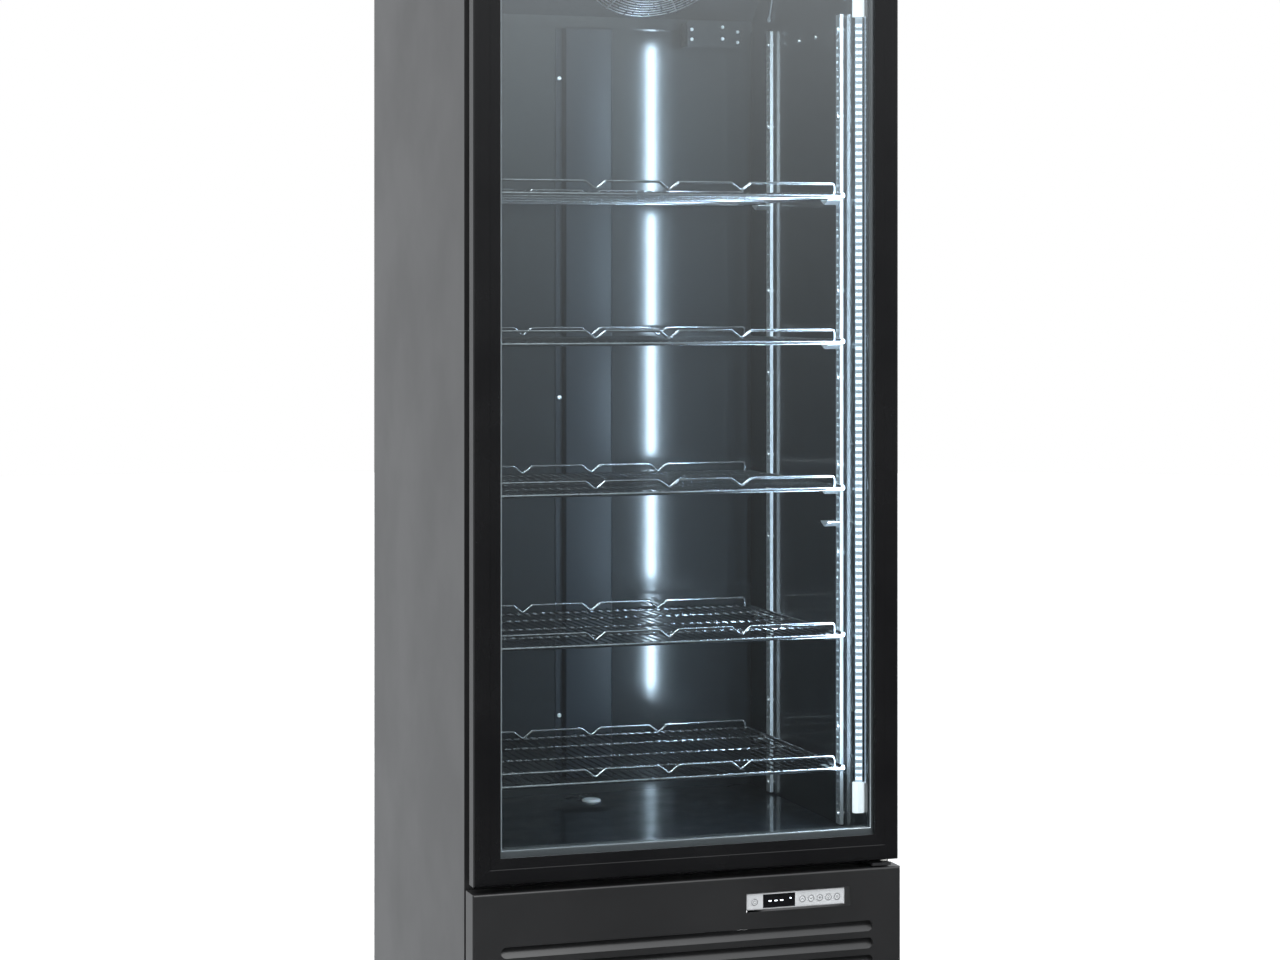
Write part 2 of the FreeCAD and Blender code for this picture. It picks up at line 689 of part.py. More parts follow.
def build_lamp():
    """Vertical light: channel on the liner wall, board, clear cover and end caps."""
    low = "lamp_bottom + lamp_cap"
    high = "lamp_top - lamp_cap"
    length = f"{high} - ({low})"

    def outline_at_wall(spots):
        """Points given as (distance from the wall, offset from the lamp's line)."""
        return [(f"bore_half - {off_wall}", f"lamp_y + ({along})") for off_wall, along in spots]

    channel = [
        (0, -12), (0, 12), (1.5, 12), (1.5, 5), (12.6, 5), (13.2, 1.5), (3.42, -3.08), (1.5, -3.9),
        (1.5, -12),
    ]
    node(prism("lamp_channel", "XY_Plane", outline_at_wall(channel), length, low), "led_channel")
    board = [(13.38, 1.28), (3.6, -3.3), (4.02, -4.2), (13.8, 0.37)]
    node(prism("lamp_board", "XY_Plane", outline_at_wall(board), f"{length} - 2", f"{low} + 1"), "led_board")
    cap = [(0, -2), (0, 4), (3, 7), (13.5, 7), (17, 3.5), (17, -3.5), (12.5, -6.5), (4, -6.5)]
    caps = [prism("lamp_cap_body", "XY_Plane", outline_at_wall(cap), "lamp_cap", base)
            for base in ("lamp_bottom", high)]
    node(group("lamp_caps", caps), "led_end_caps")
    cover = [
        (1.7, -6), (12, -6), (16, -3), (16.5, 3), (13, 6.5), (1.7, 6.5), (1.7, 5.5), (12.7, 5.5),
        (15.4, 2.8), (15, -2.5), (11.6, -5), (1.7, -5),
    ]
    node(prism("lamp_cover", "XY_Plane", outline_at_wall(cover), length, low), "led_cover")


# ---------------------------------------------------------------- cooler in the ceiling


def slope_height(y):
    """Height of the housing's tilted face at a depth y, as an expression."""
    return f"(housing_lip_top + (housing_lip - ({y})) * tan(fan_tilt))"


def fan_frame():
    """The fan opening in the tilted face: its middle, with z out of the housing."""
    middle = V(num("fan_x"), num("fan_y"), num(slope_height("fan_y")))
    return FreeCAD.Placement(middle, FreeCAD.Rotation(V(1, 0, 0), 180 - num("fan_tilt")))


def build_cooler():
    back = "bore_back"
    lid = "bore_ceiling"
    corners = [
        (back, lid), (back, "housing_bottom"), ("housing_lip", "housing_bottom"),
        ("housing_lip", "housing_lip_top"),
        ("housing_front", slope_height("housing_front")), ("housing_front", lid),
    ]
    outer = prism("housing_outer", "YZ_Plane", corners, "2 * (bore_half - 3)", midplane=True)
    inner_corners = [
        (back, f"{lid} + 1"), (back, "housing_bottom + skin"),
        ("housing_lip + skin", "housing_bottom + skin"),
        ("housing_lip + skin", "housing_lip_top + 0.6 * skin"),
        ("housing_front + skin", slope_height("housing_front") + " + 0.6 * skin"),
        ("housing_front + skin", f"{lid} + 1"),
    ]
    inner = prism("housing_inner", "YZ_Plane", inner_corners, "2 * (bore_half - 3 - skin)", midplane=True)
    mouth = doc.addObject("Part::Cylinder", "housing_mouth")
    mouth.setExpression("Radius", ex("fan_radius + 5"))
    mouth.Height = 20
    place = fan_frame()
    mouth.Placement = place.multiply(FreeCAD.Placement(V(0, 0, -10), FreeCAD.Rotation()))
    node(cut("housing", outer, fuse("housing_tools", [inner, mouth])), "evaporator_cover")

    coil = box("coil_block", ("-230", "86", "1768"), ("230", "230", "1836"))
    bends = []
    for side in (-1, 1):
        for y in (108, 158, 208):
            bend = doc.addObject("Part::Torus", "coil_bend")
            bend.Radius1 = 14
            bend.Radius2 = 4
            bend.Placement = FreeCAD.Placement(V(side * 230, y, 1802), FreeCAD.Rotation(V(0, 1, 0), 0))
            bends.append(bend)
    node(fuse("coil", [coil] + bends), "evaporator_coil")

    inner_ring, outer_ring, ring_count = 20.0, 116.0, 19
    ring_wire, wire = 1.0, 1.3
    ring_step = (outer_ring - inner_ring) / (ring_count - 1)
    rings = [Part.makeTorus(inner_ring + ring_step * i, ring_wire) for i in range(ring_count)]
    spokes = []
    for i in range(3):
        angle = math.radians(60 * i)
        reach = outer_ring + 3
        start = V(math.cos(angle), math.sin(angle), 0) * -reach + V(0, 0, -2 * wire + 0.6)
        spokes.append(Part.makeCylinder(wire, 2 * reach, start, V(math.cos(angle), math.sin(angle), 0)))
    guard = rings[0].multiFuse(rings[1:] + spokes)
    guard_item = solid("guard", guard)
    guard_item.Placement = place.multiply(FreeCAD.Placement(V(0, 0, 5), FreeCAD.Rotation()))
    node(guard_item, "evaporator_fan_guard")

    build_fan("evaporator", place, -14.0, num("fan_radius"), 5, 1.8)


def fan_blades(radius, count, hub_radius, deep):
    """A hub with pitched blades, turning about z."""
    hub = Part.makeCylinder(hub_radius, deep, V(0, 0, -deep / 2))
    bore = Part.makeCylinder(3.05, deep + 2, V(0, 0, -deep / 2 - 1))
    blades = []
    for i in range(count):
        blade = Part.makeBox(radius * 0.62, radius - hub_radius + 4, 1.8,
                             V(-radius * 0.31, hub_radius - 4, -0.9))
        blade.rotate(V(0, 0, 0), V(0, 1, 0), 28)
        blade.rotate(V(0, 0, 0), V(0, 0, 1), 360.0 * i / count)
        blades.append(blade)
    disc = Part.makeCylinder(radius, 4 * deep, V(0, 0, -2 * deep))
    wheel = hub.multiFuse(blades).common(disc)
    return wheel.cut(bore)


def build_fan(name, place, depth, radius, count, foot_gap):
    """Motor behind, blades on its shaft; place is the fan opening, +z out of the housing."""
    here = place.multiply(FreeCAD.Placement(V(0, 0, depth), FreeCAD.Rotation()))
    wheel = solid(f"{name}_wheel", fan_blades(radius, count, 18.0, 16.0))
    wheel.Placement = here
    node(wheel, f"{name}_fan_blade")
    can = Part.makeCylinder(24, 34, V(0, 0, -50))
    shaft = Part.makeCylinder(3.0, 24, V(0, 0, -17))
    arms = []
    for angle in (30, 150, 210, 330):
        arm = tube([(20, 0, -40), (radius + 8, 0, -40), (radius + 8, 0, -depth - foot_gap)], 2.5, 6.0)
        arm.rotate(V(0, 0, 0), V(0, 0, 1), angle)
        arms.append(arm)
    motor = can.multiFuse([shaft] + arms)
    body = solid(f"{name}_motor", motor)
    body.Placement = here
    node(body, f"{name}_fan_motor")


def build_terminal_box():
    """Small sensor and wiring box that hangs on the lip of the housing."""
    low = ("168", "housing_lip - 33", "housing_bottom - 29")
    high = ("262", "housing_lip", "housing_bottom + 12")
    case = soften("terminal_case", box("terminal_block", low, high), 2.5, lambda edge: edge.Length < 80)
    node(case, "terminal_box")


# ---------------------------------------------------------------- controller


def button_spots():
    """Centres of the buttons on the bezel: one at the left, five at the right."""
    return [97.0] + [171.0 + 13.6 * i for i in range(5)]


def build_controller():
    y = f"{FRONT} + 3.4"
    low, high = "window_bottom + 1.8", "window_top - 1.2"
    middle = "(window_bottom + window_top) / 2"

    def on_plane(depth):
        """Picks edges that lie on one upright plane."""
        here = num(depth)
        return lambda edge: abs(edge.BoundBox.YMin - here) < 0.01 and abs(edge.BoundBox.YMax - here) < 0.01

    bezel = box("bezel_block", ("window_left + 1.2", y, low), ("window_right - 7", f"{y} + 7", high))
    bezel = soften("bezel_round", bezel, 2.0, on_plane(y))
    case = box("case_block", ("window_left + 6", f"{y} + 6", low), ("window_right - 12", f"{y} + 58", high))
    tools = [rod("button_hole", "button_radius + button_play", "7", (f"{x}", f"{y} - 1", middle), (0, 1, 0))
             for x in button_spots()]
    tools.append(box("display_pocket", ("screen_left", f"{y} - 1", "window_bottom + 4"),
                     ("screen_right", f"{y} + 1.5", "window_top - 3.6")))
    whole = fuse("controller_block", [bezel, case])
    node(cut("controller_body", whole, fuse("controller_tools", tools)), "controller_case")
    glass = box("display_block", ("screen_left + 0.2", f"{y} + 0.1", "window_bottom + 4.2"),
                ("screen_right - 0.2", f"{y} + 1.5", "window_top - 3.8"))
    node(glass, "controller_display")
    face = f"{y} - 0.6"
    for number, x in enumerate(button_spots(), start=1):
        cap = rod(f"button_cap_{number}", "button_radius", "5.4", (f"{x}", face, middle), (0, 1, 0))
        node(soften(f"button_round_{number}", cap, 0.5, on_plane(face)), f"button_{number}")


# ---------------------------------------------------------------- machine compartment


def build_compressor():
    """Pressed shell with a belt seam, terminal cover, foot plate and rubber sleeves."""
    shell_radius, shell_tall, shell_round = 78, 120, 34
    can = Part.makeCylinder(shell_radius, shell_tall)
    can = can.makeFillet(shell_round, [edge for edge in can.Edges if edge.Length > 300])
    seam = Part.makeCylinder(shell_radius + 4, 7, V(0, 0, 58))
    terminal = Part.makeBox(46, 34, 56, V(-23, -108, 22))
    foot = Part.makeBox(190, 130, 5, V(-95, -65, -4))
    sleeves = [Part.makeCylinder(13, 18, V(x, y, -19)) for x in (-80, 80) for y in (-50, 50)]
    shell = can.multiFuse([seam, terminal, foot] + sleeves)
    node(solid("compressor_body", shell, (150, 150, num("foot_height") + 21)), "compressor")


def build_condenser():
    """Fin pack, its fan shroud and the fan."""
    west, east, front = "-292", "40", "-245"
    low, high, middle = "foot_height + 4", "foot_height + 214", "foot_height + 109"
    seam, rear = f"{front} + 40", f"{front} + 77"
    fins = box("fin_block", (west, front, low), (east, seam, high))
    duct = box("shroud_block", (west, seam, low), (east, rear, high))
    mouth = rod("shroud_mouth", "cooler_fan_radius + 3", "60",
                (f"({west} + {east}) / 2", f"{seam} - 10", middle), (0, 1, 0))
    hollow = box("shroud_hollow", (f"{west} + 2", f"{seam} - 1", f"{low} + 2"),
                 (f"{east} - 2", f"{rear} - 2", f"{high} - 2"))
    shroud = cut("shroud", duct, fuse("shroud_tools", [mouth, hollow]))
    node(fuse("condenser", [fins, shroud]), "condenser_coil")
    place = FreeCAD.Placement(V(num(f"({west} + {east}) / 2"), num(rear), num(middle)),
                              FreeCAD.Rotation(V(1, 0, 0), 90))
    build_fan("condenser", place, -10.0, num("cooler_fan_radius"), 5, 0.2)


def build_bowl_and_pipes():
    """Evaporating tray over the compressor, and the three pipes."""
    outer = box("bowl_block", ("-20", "40", "bowl_low"), ("260", "280", "bowl_low + 38"))
    hollow = box("bowl_space", ("-18", "42", "bowl_low + 2"), ("258", "278", "bowl_low + 40"))
    node(cut("bowl", outer, hollow), "evaporating_tray")

    low, high = num("foot_height") + 50, num("foot_height") + 70
    under = num("floor_skin") - 1.5
    over_bowl, in_bowl = num("bowl_low") + 50, num("bowl_low") + 28
    discharge = tube([(76.8, 118, low), (56, 118, low), (56, -225, low), (40.3, -225, low)], 3.2, 7.0)
    suction = tube([(80.4, 190, high), (-40, 190, high), (-40, 190, under)], 4.2, 14.0)
    drain = tube([(-80, 220, under), (-80, 220, over_bowl), (0, 220, over_bowl), (0, 220, in_bowl)],
                 5.0, 10.0)
    node(solid("pipes", Part.makeCompound([discharge, suction, drain])), "refrigerant_pipes")


def build_electrical_box():
    """Box of the electrics on the tray, with the gland its supply lead goes into."""
    case = box("electric_block", ("-290", "120", "foot_height + 3"), ("-170", "286", "foot_height + 96"))
    case = soften("electric_round", case, 4.0, lambda edge: edge.Length > 60)
    gland = rod("gland", "9", "12", ("-230", "284", "foot_height + 50"), (0, 1, 0))
    entry = rod("gland_hole", "4", "30", ("-230", "270", "foot_height + 50"), (0, 1, 0))
    node(cut("electric", fuse("electric_whole", [case, gland]), entry), "electrical_box")


def screw_head(radius, spot, direction):
    """A pan head with its flat side at spot."""
    head = Part.makeCylinder(radius, 2.2, V(*spot), V(*direction))
    tip = V(*spot) + V(*direction) * 2.2
    rim = [edge for edge in head.Edges if edge.Length > 3 and edge.CenterOfMass.distanceToPoint(tip) < 0.01]
    return head.makeFillet(0.9, rim)


def build_screws():
    spots = []
    for z in DUCT_SCREWS:
        spots.append((3.4, (num("duct_left") - 6, num("bore_back") - 2, z), (0, -1, 0)))
    for x, rise in TERMINAL_SCREWS:
        spots.append((2.8, (x, num("housing_lip - 33"), num("housing_bottom - 29") + rise), (0, -1, 0)))
    for y in WALL_SCREWS:
        spots.append((3.0, (num("bore_half"), y, 1549.0), (-1, 0, 0)))
    face = num("bore_half") - num("standard_deep")
    for side in (-1, 1):
        for y in (num("standard_front"), num("standard_rear")):
            spots += [(3.0, (side * face, y, height), (-side, 0, 0)) for height in standard_fixings()]
    heads = [screw_head(radius, spot, direction) for radius, spot, direction in spots]
    node(solid("screw_heads", Part.makeCompound(heads)), "screws")


# ---------------------------------------------------------------- build, test and write

BUILDERS = (
    build_skins, build_frame_and_liner, build_base, build_lower_panel, build_door, build_hinges,
    build_standards, build_shelves, build_clips, build_air_duct, build_lamp, build_cooler,
    build_terminal_box, build_controller, build_compressor, build_condenser, build_bowl_and_pipes,
    build_electrical_box, build_screws,
)


def check_document():
    """Stop if anything in the document failed to build."""
    for item in doc.Objects:
        if "Invalid" in item.State or "Error" in item.State:
            raise RuntimeError(f"{item.Label} failed: {item.State}")
    for item in NODES:
        shape = item.Shape
        if shape.isNull() or not shape.isValid() or not shape.Solids:
            raise RuntimeError(f"{item.Label} has no valid solid")


def write_parts():
    os.makedirs("parts", exist_ok=True)
    for item in NODES:
        item.Shape.exportStep(f"parts/{item.Label}.step")
    bounds = Part.makeCompound([item.Shape for item in NODES]).BoundBox
    print(f"{len(NODES)} sub-parts")
    print(f"x {bounds.XMin:.1f} to {bounds.XMax:.1f}, y {bounds.YMin:.1f} to {bounds.YMax:.1f}, "
          f"z {bounds.ZMin:.1f} to {bounds.ZMax:.1f}")


for build in BUILDERS:
    build()
doc.recompute()
check_document()
write_parts()
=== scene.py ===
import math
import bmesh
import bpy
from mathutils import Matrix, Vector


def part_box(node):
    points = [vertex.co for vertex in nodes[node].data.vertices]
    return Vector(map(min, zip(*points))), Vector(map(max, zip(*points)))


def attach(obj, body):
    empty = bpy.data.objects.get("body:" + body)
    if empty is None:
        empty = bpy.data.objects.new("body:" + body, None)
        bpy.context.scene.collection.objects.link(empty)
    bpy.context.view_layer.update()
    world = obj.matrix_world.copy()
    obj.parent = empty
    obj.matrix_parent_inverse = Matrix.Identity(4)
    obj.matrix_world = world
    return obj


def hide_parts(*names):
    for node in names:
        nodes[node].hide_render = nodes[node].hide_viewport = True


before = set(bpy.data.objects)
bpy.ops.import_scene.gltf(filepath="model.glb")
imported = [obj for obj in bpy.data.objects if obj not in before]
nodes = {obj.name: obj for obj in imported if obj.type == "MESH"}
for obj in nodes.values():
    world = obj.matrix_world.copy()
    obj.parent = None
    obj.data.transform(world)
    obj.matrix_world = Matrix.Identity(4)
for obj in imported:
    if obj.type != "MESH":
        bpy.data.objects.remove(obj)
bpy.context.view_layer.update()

# %% [markdown]
# # A glass door display refrigerator
# The cabinet is folded black steel around foam. A tall double-glazed door closes it, five wire
# shelves hang inside, and a light runs up the right-hand wall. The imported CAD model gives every
# size, so this lesson adds what a drawing can't hold: finishes, round wires, light chips, seals
# and small marks. Sizes come from the CAD boxes, so nothing has to be fitted by hand.

# %% [markdown]
# ## Where we stand
# A tall cabinet looks best through a long lens at chest height. The lens is held level and its
# image is shifted down, because a level camera keeps the upright edges upright. Tilting it would
# make the cabinet look as if it fell backwards.

# %% Level camera with a shifted lens
STAND = Vector((-1.3638, -4.1525, 1.1526))
TURN = math.radians(-18.456)
lens = bpy.data.cameras.new("shop_camera")
lens.lens, lens.sensor_width, lens.shift_y = 80.13, 36.0, -0.1463
camera = bpy.data.objects.new("shop_camera", lens)
camera.location = STAND
camera.rotation_euler = (math.pi / 2, 0, TURN)
bpy.context.collection.objects.link(camera)
bpy.context.scene.camera = camera
print("camera", round(STAND.to_2d().length, 2), "m from the cabinet's axis")

# %% [markdown]
# ## Studio
# Black paint has hardly any colour of its own, so what it mirrors is what the eye sees. The
# studio has a white wall behind and beside the cabinet and a dim front, with more light above eye
# level than below. A sky that changes with direction gives this at no cost. The visible
# background stays plain white.

# %% A room that is white behind and dim in front
scene = bpy.context.scene
scene.view_settings.view_transform = "Standard"
room = bpy.data.worlds.new("studio_room")
scene.world = room
room.use_nodes = True
sky = room.node_tree
sky.nodes.clear()


def sky_light(colour):
    """Even light of one colour."""
    made = sky.nodes.new("ShaderNodeBackground")
    made.inputs["Color"].default_value = (*colour, 1.0)
    return made


def sky_ramp(source, low, high, start, end):
    """Turns a direction's coordinate into a brightness, smoothly from start to end."""
    made = sky.nodes.new("ShaderNodeMapRange")
    made.interpolation_type = "SMOOTHSTEP"
    for socket, value in zip((1, 2, 3, 4), (low, high, start, end)):
        made.inputs[socket].default_value = value
    sky.links.new(source, made.inputs[0])
    return made.outputs[0]


def sky_sum(kind, *terms):
    """Joins brightnesses by a sum of the given kind; a term is a node's output or a number."""
    made = sky.nodes.new("ShaderNodeMath")
    made.operation = kind
    for socket, term in zip(made.inputs, terms):
        if isinstance(term, float):
            socket.default_value = term
        else:
            sky.links.new(term, socket)
    return made.outputs[0]


direction = sky.nodes.new("ShaderNodeTexCoord")
split = sky.nodes.new("ShaderNodeSeparateXYZ")
sky.links.new(direction.outputs["Generated"], split.inputs[0])
BACK_WALL, BEHIND_FEET, OVERHEAD = 0.74, 0.3, 0.9
AT_EYE_LEVEL, GROWTH, BRIGHTEST = 0.32, 11.0, 1.05
WALL_STARTS, WALL_FULL = -0.25, 0.3
climb = sky_sum("MULTIPLY_ADD", split.outputs["Z"], GROWTH, math.log(AT_EYE_LEVEL))
front = sky_sum("MINIMUM", sky_sum("EXPONENT", climb), BRIGHTEST)
behind = sky_ramp(split.outputs["Y"], WALL_STARTS, WALL_FULL, 0.0, 1.0)
in_front = sky_ramp(split.outputs["Y"], WALL_STARTS, WALL_FULL, 1.0, 0.0)
above = sky_ramp(split.outputs["Z"], 0.45, 0.95, 0.0, OVERHEAD)
wall = sky_ramp(split.outputs["Z"], -1.0, -0.2, BEHIND_FEET, BACK_WALL)
sides = sky_sum("ADD", sky_sum("MULTIPLY", front, in_front), sky_sum("MULTIPLY", wall, behind))
brightness = sky_sum("ADD", sides, above)

# %% Join the sky to a plain white background
seen = sky.nodes.new("ShaderNodeLightPath")
glow = sky_light((0.95, 0.975, 1.0))
sky.links.new(brightness, glow.inputs["Strength"])
plain = sky_light((1.0, 1.0, 1.0))
choose = sky.nodes.new("ShaderNodeMixShader")
sky.links.new(seen.outputs["Is Camera Ray"], choose.inputs[0])
sky.links.new(glow.outputs[0], choose.inputs[1])
sky.links.new(plain.outputs[0], choose.inputs[2])
out = sky.nodes.new("ShaderNodeOutputWorld")
sky.links.new(choose.outputs[0], out.inputs["Surface"])
print("room brightness: wall", BACK_WALL, "front at eye level", AT_EYE_LEVEL, "at most", BRIGHTEST)

# %% [markdown]
# The floor is a pale painted sheet. Its mirror image is left out of gloss, because the real one
# ends just in front of the cabinet, and a wide soft sun lifts it to white.

# %% Floor and soft overhead light
SPREAD, RIM_STEPS, BELOW_FEET = 14.0, 64, 0.0005
floor_mesh = bpy.data.meshes.new("pale_floor")
turns = [i * math.tau / RIM_STEPS for i in range(RIM_STEPS)]
rim = [(math.cos(a) * SPREAD, math.sin(a) * SPREAD, -BELOW_FEET) for a in turns]
floor_mesh.from_pydata(rim, [], [list(range(RIM_STEPS))])
floor = bpy.data.objects.new("pale_floor", floor_mesh)
bpy.context.collection.objects.link(floor)
floor.visible_glossy = False

overhead = bpy.data.lights.new("wide_overhead", "SUN")
overhead.energy, overhead.angle = 2.1, math.radians(70)
lamp = bpy.data.objects.new("wide_overhead", overhead)
lamp.rotation_euler = (math.radians(18), math.radians(-22), 0)
lamp.visible_glossy = False
bpy.context.collection.objects.link(lamp)
print("floor", 2 * SPREAD, "m across")

# %% [markdown]
# A bright panel hangs high in front. It lights nothing by itself: it is only mirrored, as a thin
# line along every rounded edge that faces upwards. Those lines are what makes folded sheet look
# crisp.

# %% Panel that draws the edges
PANEL_AT, PANEL_AIM = Vector((-0.9, -2.6, 3.6)), Vector((0.0, -0.3, 0.6))
panel = bpy.data.lights.new("edge_panel", "AREA")
panel.shape, panel.size, panel.size_y = "RECTANGLE", 1.8, 1.2
panel.energy = 260.0
edge_panel = bpy.data.objects.new("edge_panel", panel)
edge_panel.location = PANEL_AT
edge_panel.rotation_euler = (PANEL_AIM - PANEL_AT).to_track_quat("-Z", "Y").to_euler()
edge_panel.visible_camera = False
edge_panel.visible_diffuse = False
edge_panel.visible_transmission = False
bpy.context.collection.objects.link(edge_panel)
print("edge panel", panel.size, "by", panel.size_y, "m")

# %% [markdown]
# ## The cabinet's own light
# The real light is a row of chips in a channel on the right wall, and it is the brightest thing
# in the room. The chips are modelled further down. A long narrow lamp in the same place carries
# their light, so the liner, the wires and the standards are lit evenly and without speckle.

# %% A strip of light where the chips are
board_low, board_high = (Vector(corner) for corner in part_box("led_board"))
strip = bpy.data.lights.new("strip_glow", "AREA")
strip.shape = "RECTANGLE"
CAP_GLOW = 0.035  # the lit cap above the board shines too
GLOW_WIDE, OFF_BOARD, BEHIND_BOARD = 0.020, 0.0025, 0.008
strip.size, strip.size_y = GLOW_WIDE, board_high.z - board_low.z + CAP_GLOW
strip.energy = 7.4
strip.color = (0.66, 0.82, 1.0)
glow_strip = bpy.data.objects.new("strip_glow", strip)
glow_strip.location = (board_low + board_high) / 2
glow_strip.location += Vector((0, 0, CAP_GLOW / 2))
glow_strip.location.x = board_low.x - OFF_BOARD
glow_strip.location.y = board_high.y + BEHIND_BOARD
facing = Vector((-0.93, 0.36, 0.0))
glow_strip.rotation_euler = facing.to_track_quat("-Z", "Y").to_euler()
glow_strip.visible_camera = False
glow_strip.visible_transmission = False
bpy.context.collection.objects.link(glow_strip)
print("strip of light", round(strip.size_y, 3), "m tall")

# %% [markdown]
# ## Finishes
# Every finish is a Principled surface with its own small irregularities: paint has an orange
# peel, brushed metal has lines, rubber has dust. They are mixed from noise measured in real
# millimetres, in the piece's own coordinates, so that the pattern stays on the piece when it
# moves.

# %% Helpers: a finish, its grain and its relief
MM = 0.001


class Finish:
    """A Principled surface under construction. Plain values go straight on its sockets."""

    def __init__(self, name, colour, roughness, **plain):
        self.material = bpy.data.materials.new(name)
        self.material.use_nodes = True
        self.tree = self.material.node_tree
        self.shader = self.tree.nodes["Principled BSDF"]
        self.place = self.tree.nodes.new("ShaderNodeTexCoord").outputs["Object"]
        self.shader.inputs["Base Color"].default_value = (*colour, 1.0)
        self.shader.inputs["Roughness"].default_value = roughness
        for socket, value in plain.items():
            self.shader.inputs[socket.replace("_", " ")].default_value = value

    def stretch(self, x=1.0, y=1.0, z=1.0):
        """The piece's own coordinates, squeezed so that grain runs long in one direction."""
        made = self.tree.nodes.new("ShaderNodeMapping")
        made.inputs["Scale"].default_value = (x, y, z)
        self.tree.links.new(self.place, made.inputs["Vector"])
        return made.outputs[0]

    def grain(self, size, detail=2.0, along=None):
        """Noise whose blobs are about size metres across."""
        made = self.tree.nodes.new("ShaderNodeTexNoise")
        made.inputs["Scale"].default_value = 1.0 / size
        made.inputs["Detail"].default_value = detail
        self.tree.links.new(along or self.place, made.inputs["Vector"])
        return made.outputs["Fac"]

    def scaled(self, source, low, high, start=0.35, end=0.65):
        """Noise between start and end, read as a number from low to high."""
        made = self.tree.nodes.new("ShaderNodeMapRange")
        for socket, value in zip((1, 2, 3, 4), (start, end, low, high)):
            made.inputs[socket].default_value = value
        self.tree.links.new(source, made.inputs[0])
        return made.outputs[0]

    def colours(self, source, *stops):
        """Noise read as a colour: each stop is (position, colour)."""
        made = self.tree.nodes.new("ShaderNodeValToRGB")
        ramp = made.color_ramp
        while len(ramp.elements) < len(stops):
            ramp.elements.new(0.5)
        for element, (position, colour) in zip(ramp.elements, stops):
            element.position, element.color = position, (*colour, 1.0)
        self.tree.links.new(source, made.inputs[0])
        self.tree.links.new(made.outputs[0], self.shader.inputs["Base Color"])

    def gloss(self, source, low, high):
        """Roughness that wanders between low and high."""
        self.tree.links.new(self.scaled(source, low, high), self.shader.inputs["Roughness"])

    def relief(self, source, depth, strength=1.0):
        """Small bumps, depth metres high."""
        made = self.tree.nodes.new("ShaderNodeBump")
        made.inputs["Strength"].default_value = strength
        made.inputs["Distance"].default_value = depth
        self.tree.links.new(source, made.inputs["Height"])
        self.tree.links.new(made.outputs[0], self.shader.inputs["Normal"])


# %% Helper: put a finish on CAD pieces
undressed = set(nodes)


def dress(finish, *names):
    """Gives CAD pieces a finish."""
    for name in names:
        piece = nodes[name]
        if not piece.material_slots:
            piece.data.materials.append(finish.material)
        for holder in piece.material_slots:
            holder.material = finish.material
        undressed.discard(name)


# %% [markdown]
# The outer sheets are powder coated. The powder melts into a film with a faint orange peel, about
# a millimetre and a half from crest to crest. It is black all through, and at a glancing angle it
# mirrors the white wall, which is why the side of the cabinet looks grey.

# %% Powder coat of the cabinet
powder_coat = Finish("powder_coat_black", (0.014, 0.014, 0.0145), 0.34,
                     Specular_IOR_Level=0.42, Coat_Weight=0.22, Coat_Roughness=0.09)
peel = powder_coat.grain(1.6 * MM, 2.0)
powder_coat.relief(peel, 0.012 * MM, 0.6)
handled = powder_coat.grain(170 * MM, 4.0)
powder_coat.gloss(handled, 0.31, 0.37)
powder_coat.colours(handled, (0.3, (0.0125, 0.0125, 0.013)), (0.7, (0.0155, 0.0155, 0.016)))
dress(powder_coat, "side_panel_left", "side_panel_right", "top_panel", "lower_panel")

# %% [markdown]
# The door bars are extruded aluminium with a glossy black coat. The coat is smoother than powder,
# so the bars show crisp edges of light and otherwise stay darker than the cabinet.

# %% Gloss coat of the door bars
door_coat = Finish("door_coat_black", (0.006, 0.006, 0.0065), 0.16, Specular_IOR_Level=0.26)
door_coat.relief(door_coat.grain(2.4 * MM, 1.0), 0.004 * MM, 0.4)
rubbed = door_coat.grain(120 * MM, 4.0)
door_coat.gloss(rubbed, 0.13, 0.2)
door_coat.colours(rubbed, (0.3, (0.0055, 0.0055, 0.006)), (0.7, (0.0075, 0.0075, 0.008)))
dress(door_coat, "door_stile_left", "door_stile_right", "door_rail_top", "door_rail_bottom")

# %% [markdown]
# The liner is pre-painted sheet with a high gloss. It isn't perfectly flat, so a narrow light
# becomes a soft upright streak with a hot core. A wide and a narrow reflection together give
# that: the base is rougher, and a thin clear coat carries the core.

# %% Glossy paint of the liner
liner_paint = Finish("liner_paint_black", (0.013, 0.016, 0.0195), 0.5,
                     Specular_IOR_Level=0.2, Coat_Weight=1.0, Coat_Roughness=0.1)
ripple = liner_paint.grain(120 * MM, 1.0, liner_paint.stretch(1.0, 1.0, 0.4))
liner_paint.relief(ripple, 0.12 * MM, 0.4)
wiped = liner_paint.grain(160 * MM, 2.0)
liner_paint.gloss(wiped, 0.46, 0.54)
liner_paint.colours(wiped, (0.3, (0.0115, 0.014, 0.0175)), (0.7, (0.0145, 0.0175, 0.0215)))
dress(liner_paint, "liner_walls", "liner_ceiling", "evaporator_cover", "terminal_box")

# %% [markdown]
# The floor of the liner is the same sheet, lying flat on foam, so its mirror is sharper. Cleaning
# has left faint scuffs under the gloss.

# %% Paint of the liner's floor
floor_paint = Finish("floor_paint_black", (0.012, 0.0145, 0.018), 0.42,
                     Specular_IOR_Level=0.22, Coat_Weight=0.8, Coat_Roughness=0.045)
scuffs = floor_paint.grain(60 * MM, 4.0)
floor_paint.colours(scuffs, (0.3, (0.0115, 0.014, 0.0175)), (0.7, (0.0145, 0.0175, 0.0215)))
floor_paint.gloss(scuffs, 0.34, 0.46)
floor_paint.relief(floor_paint.grain(1.6 * MM, 2.0), 0.008 * MM, 0.4)
dress(floor_paint, "liner_floor")

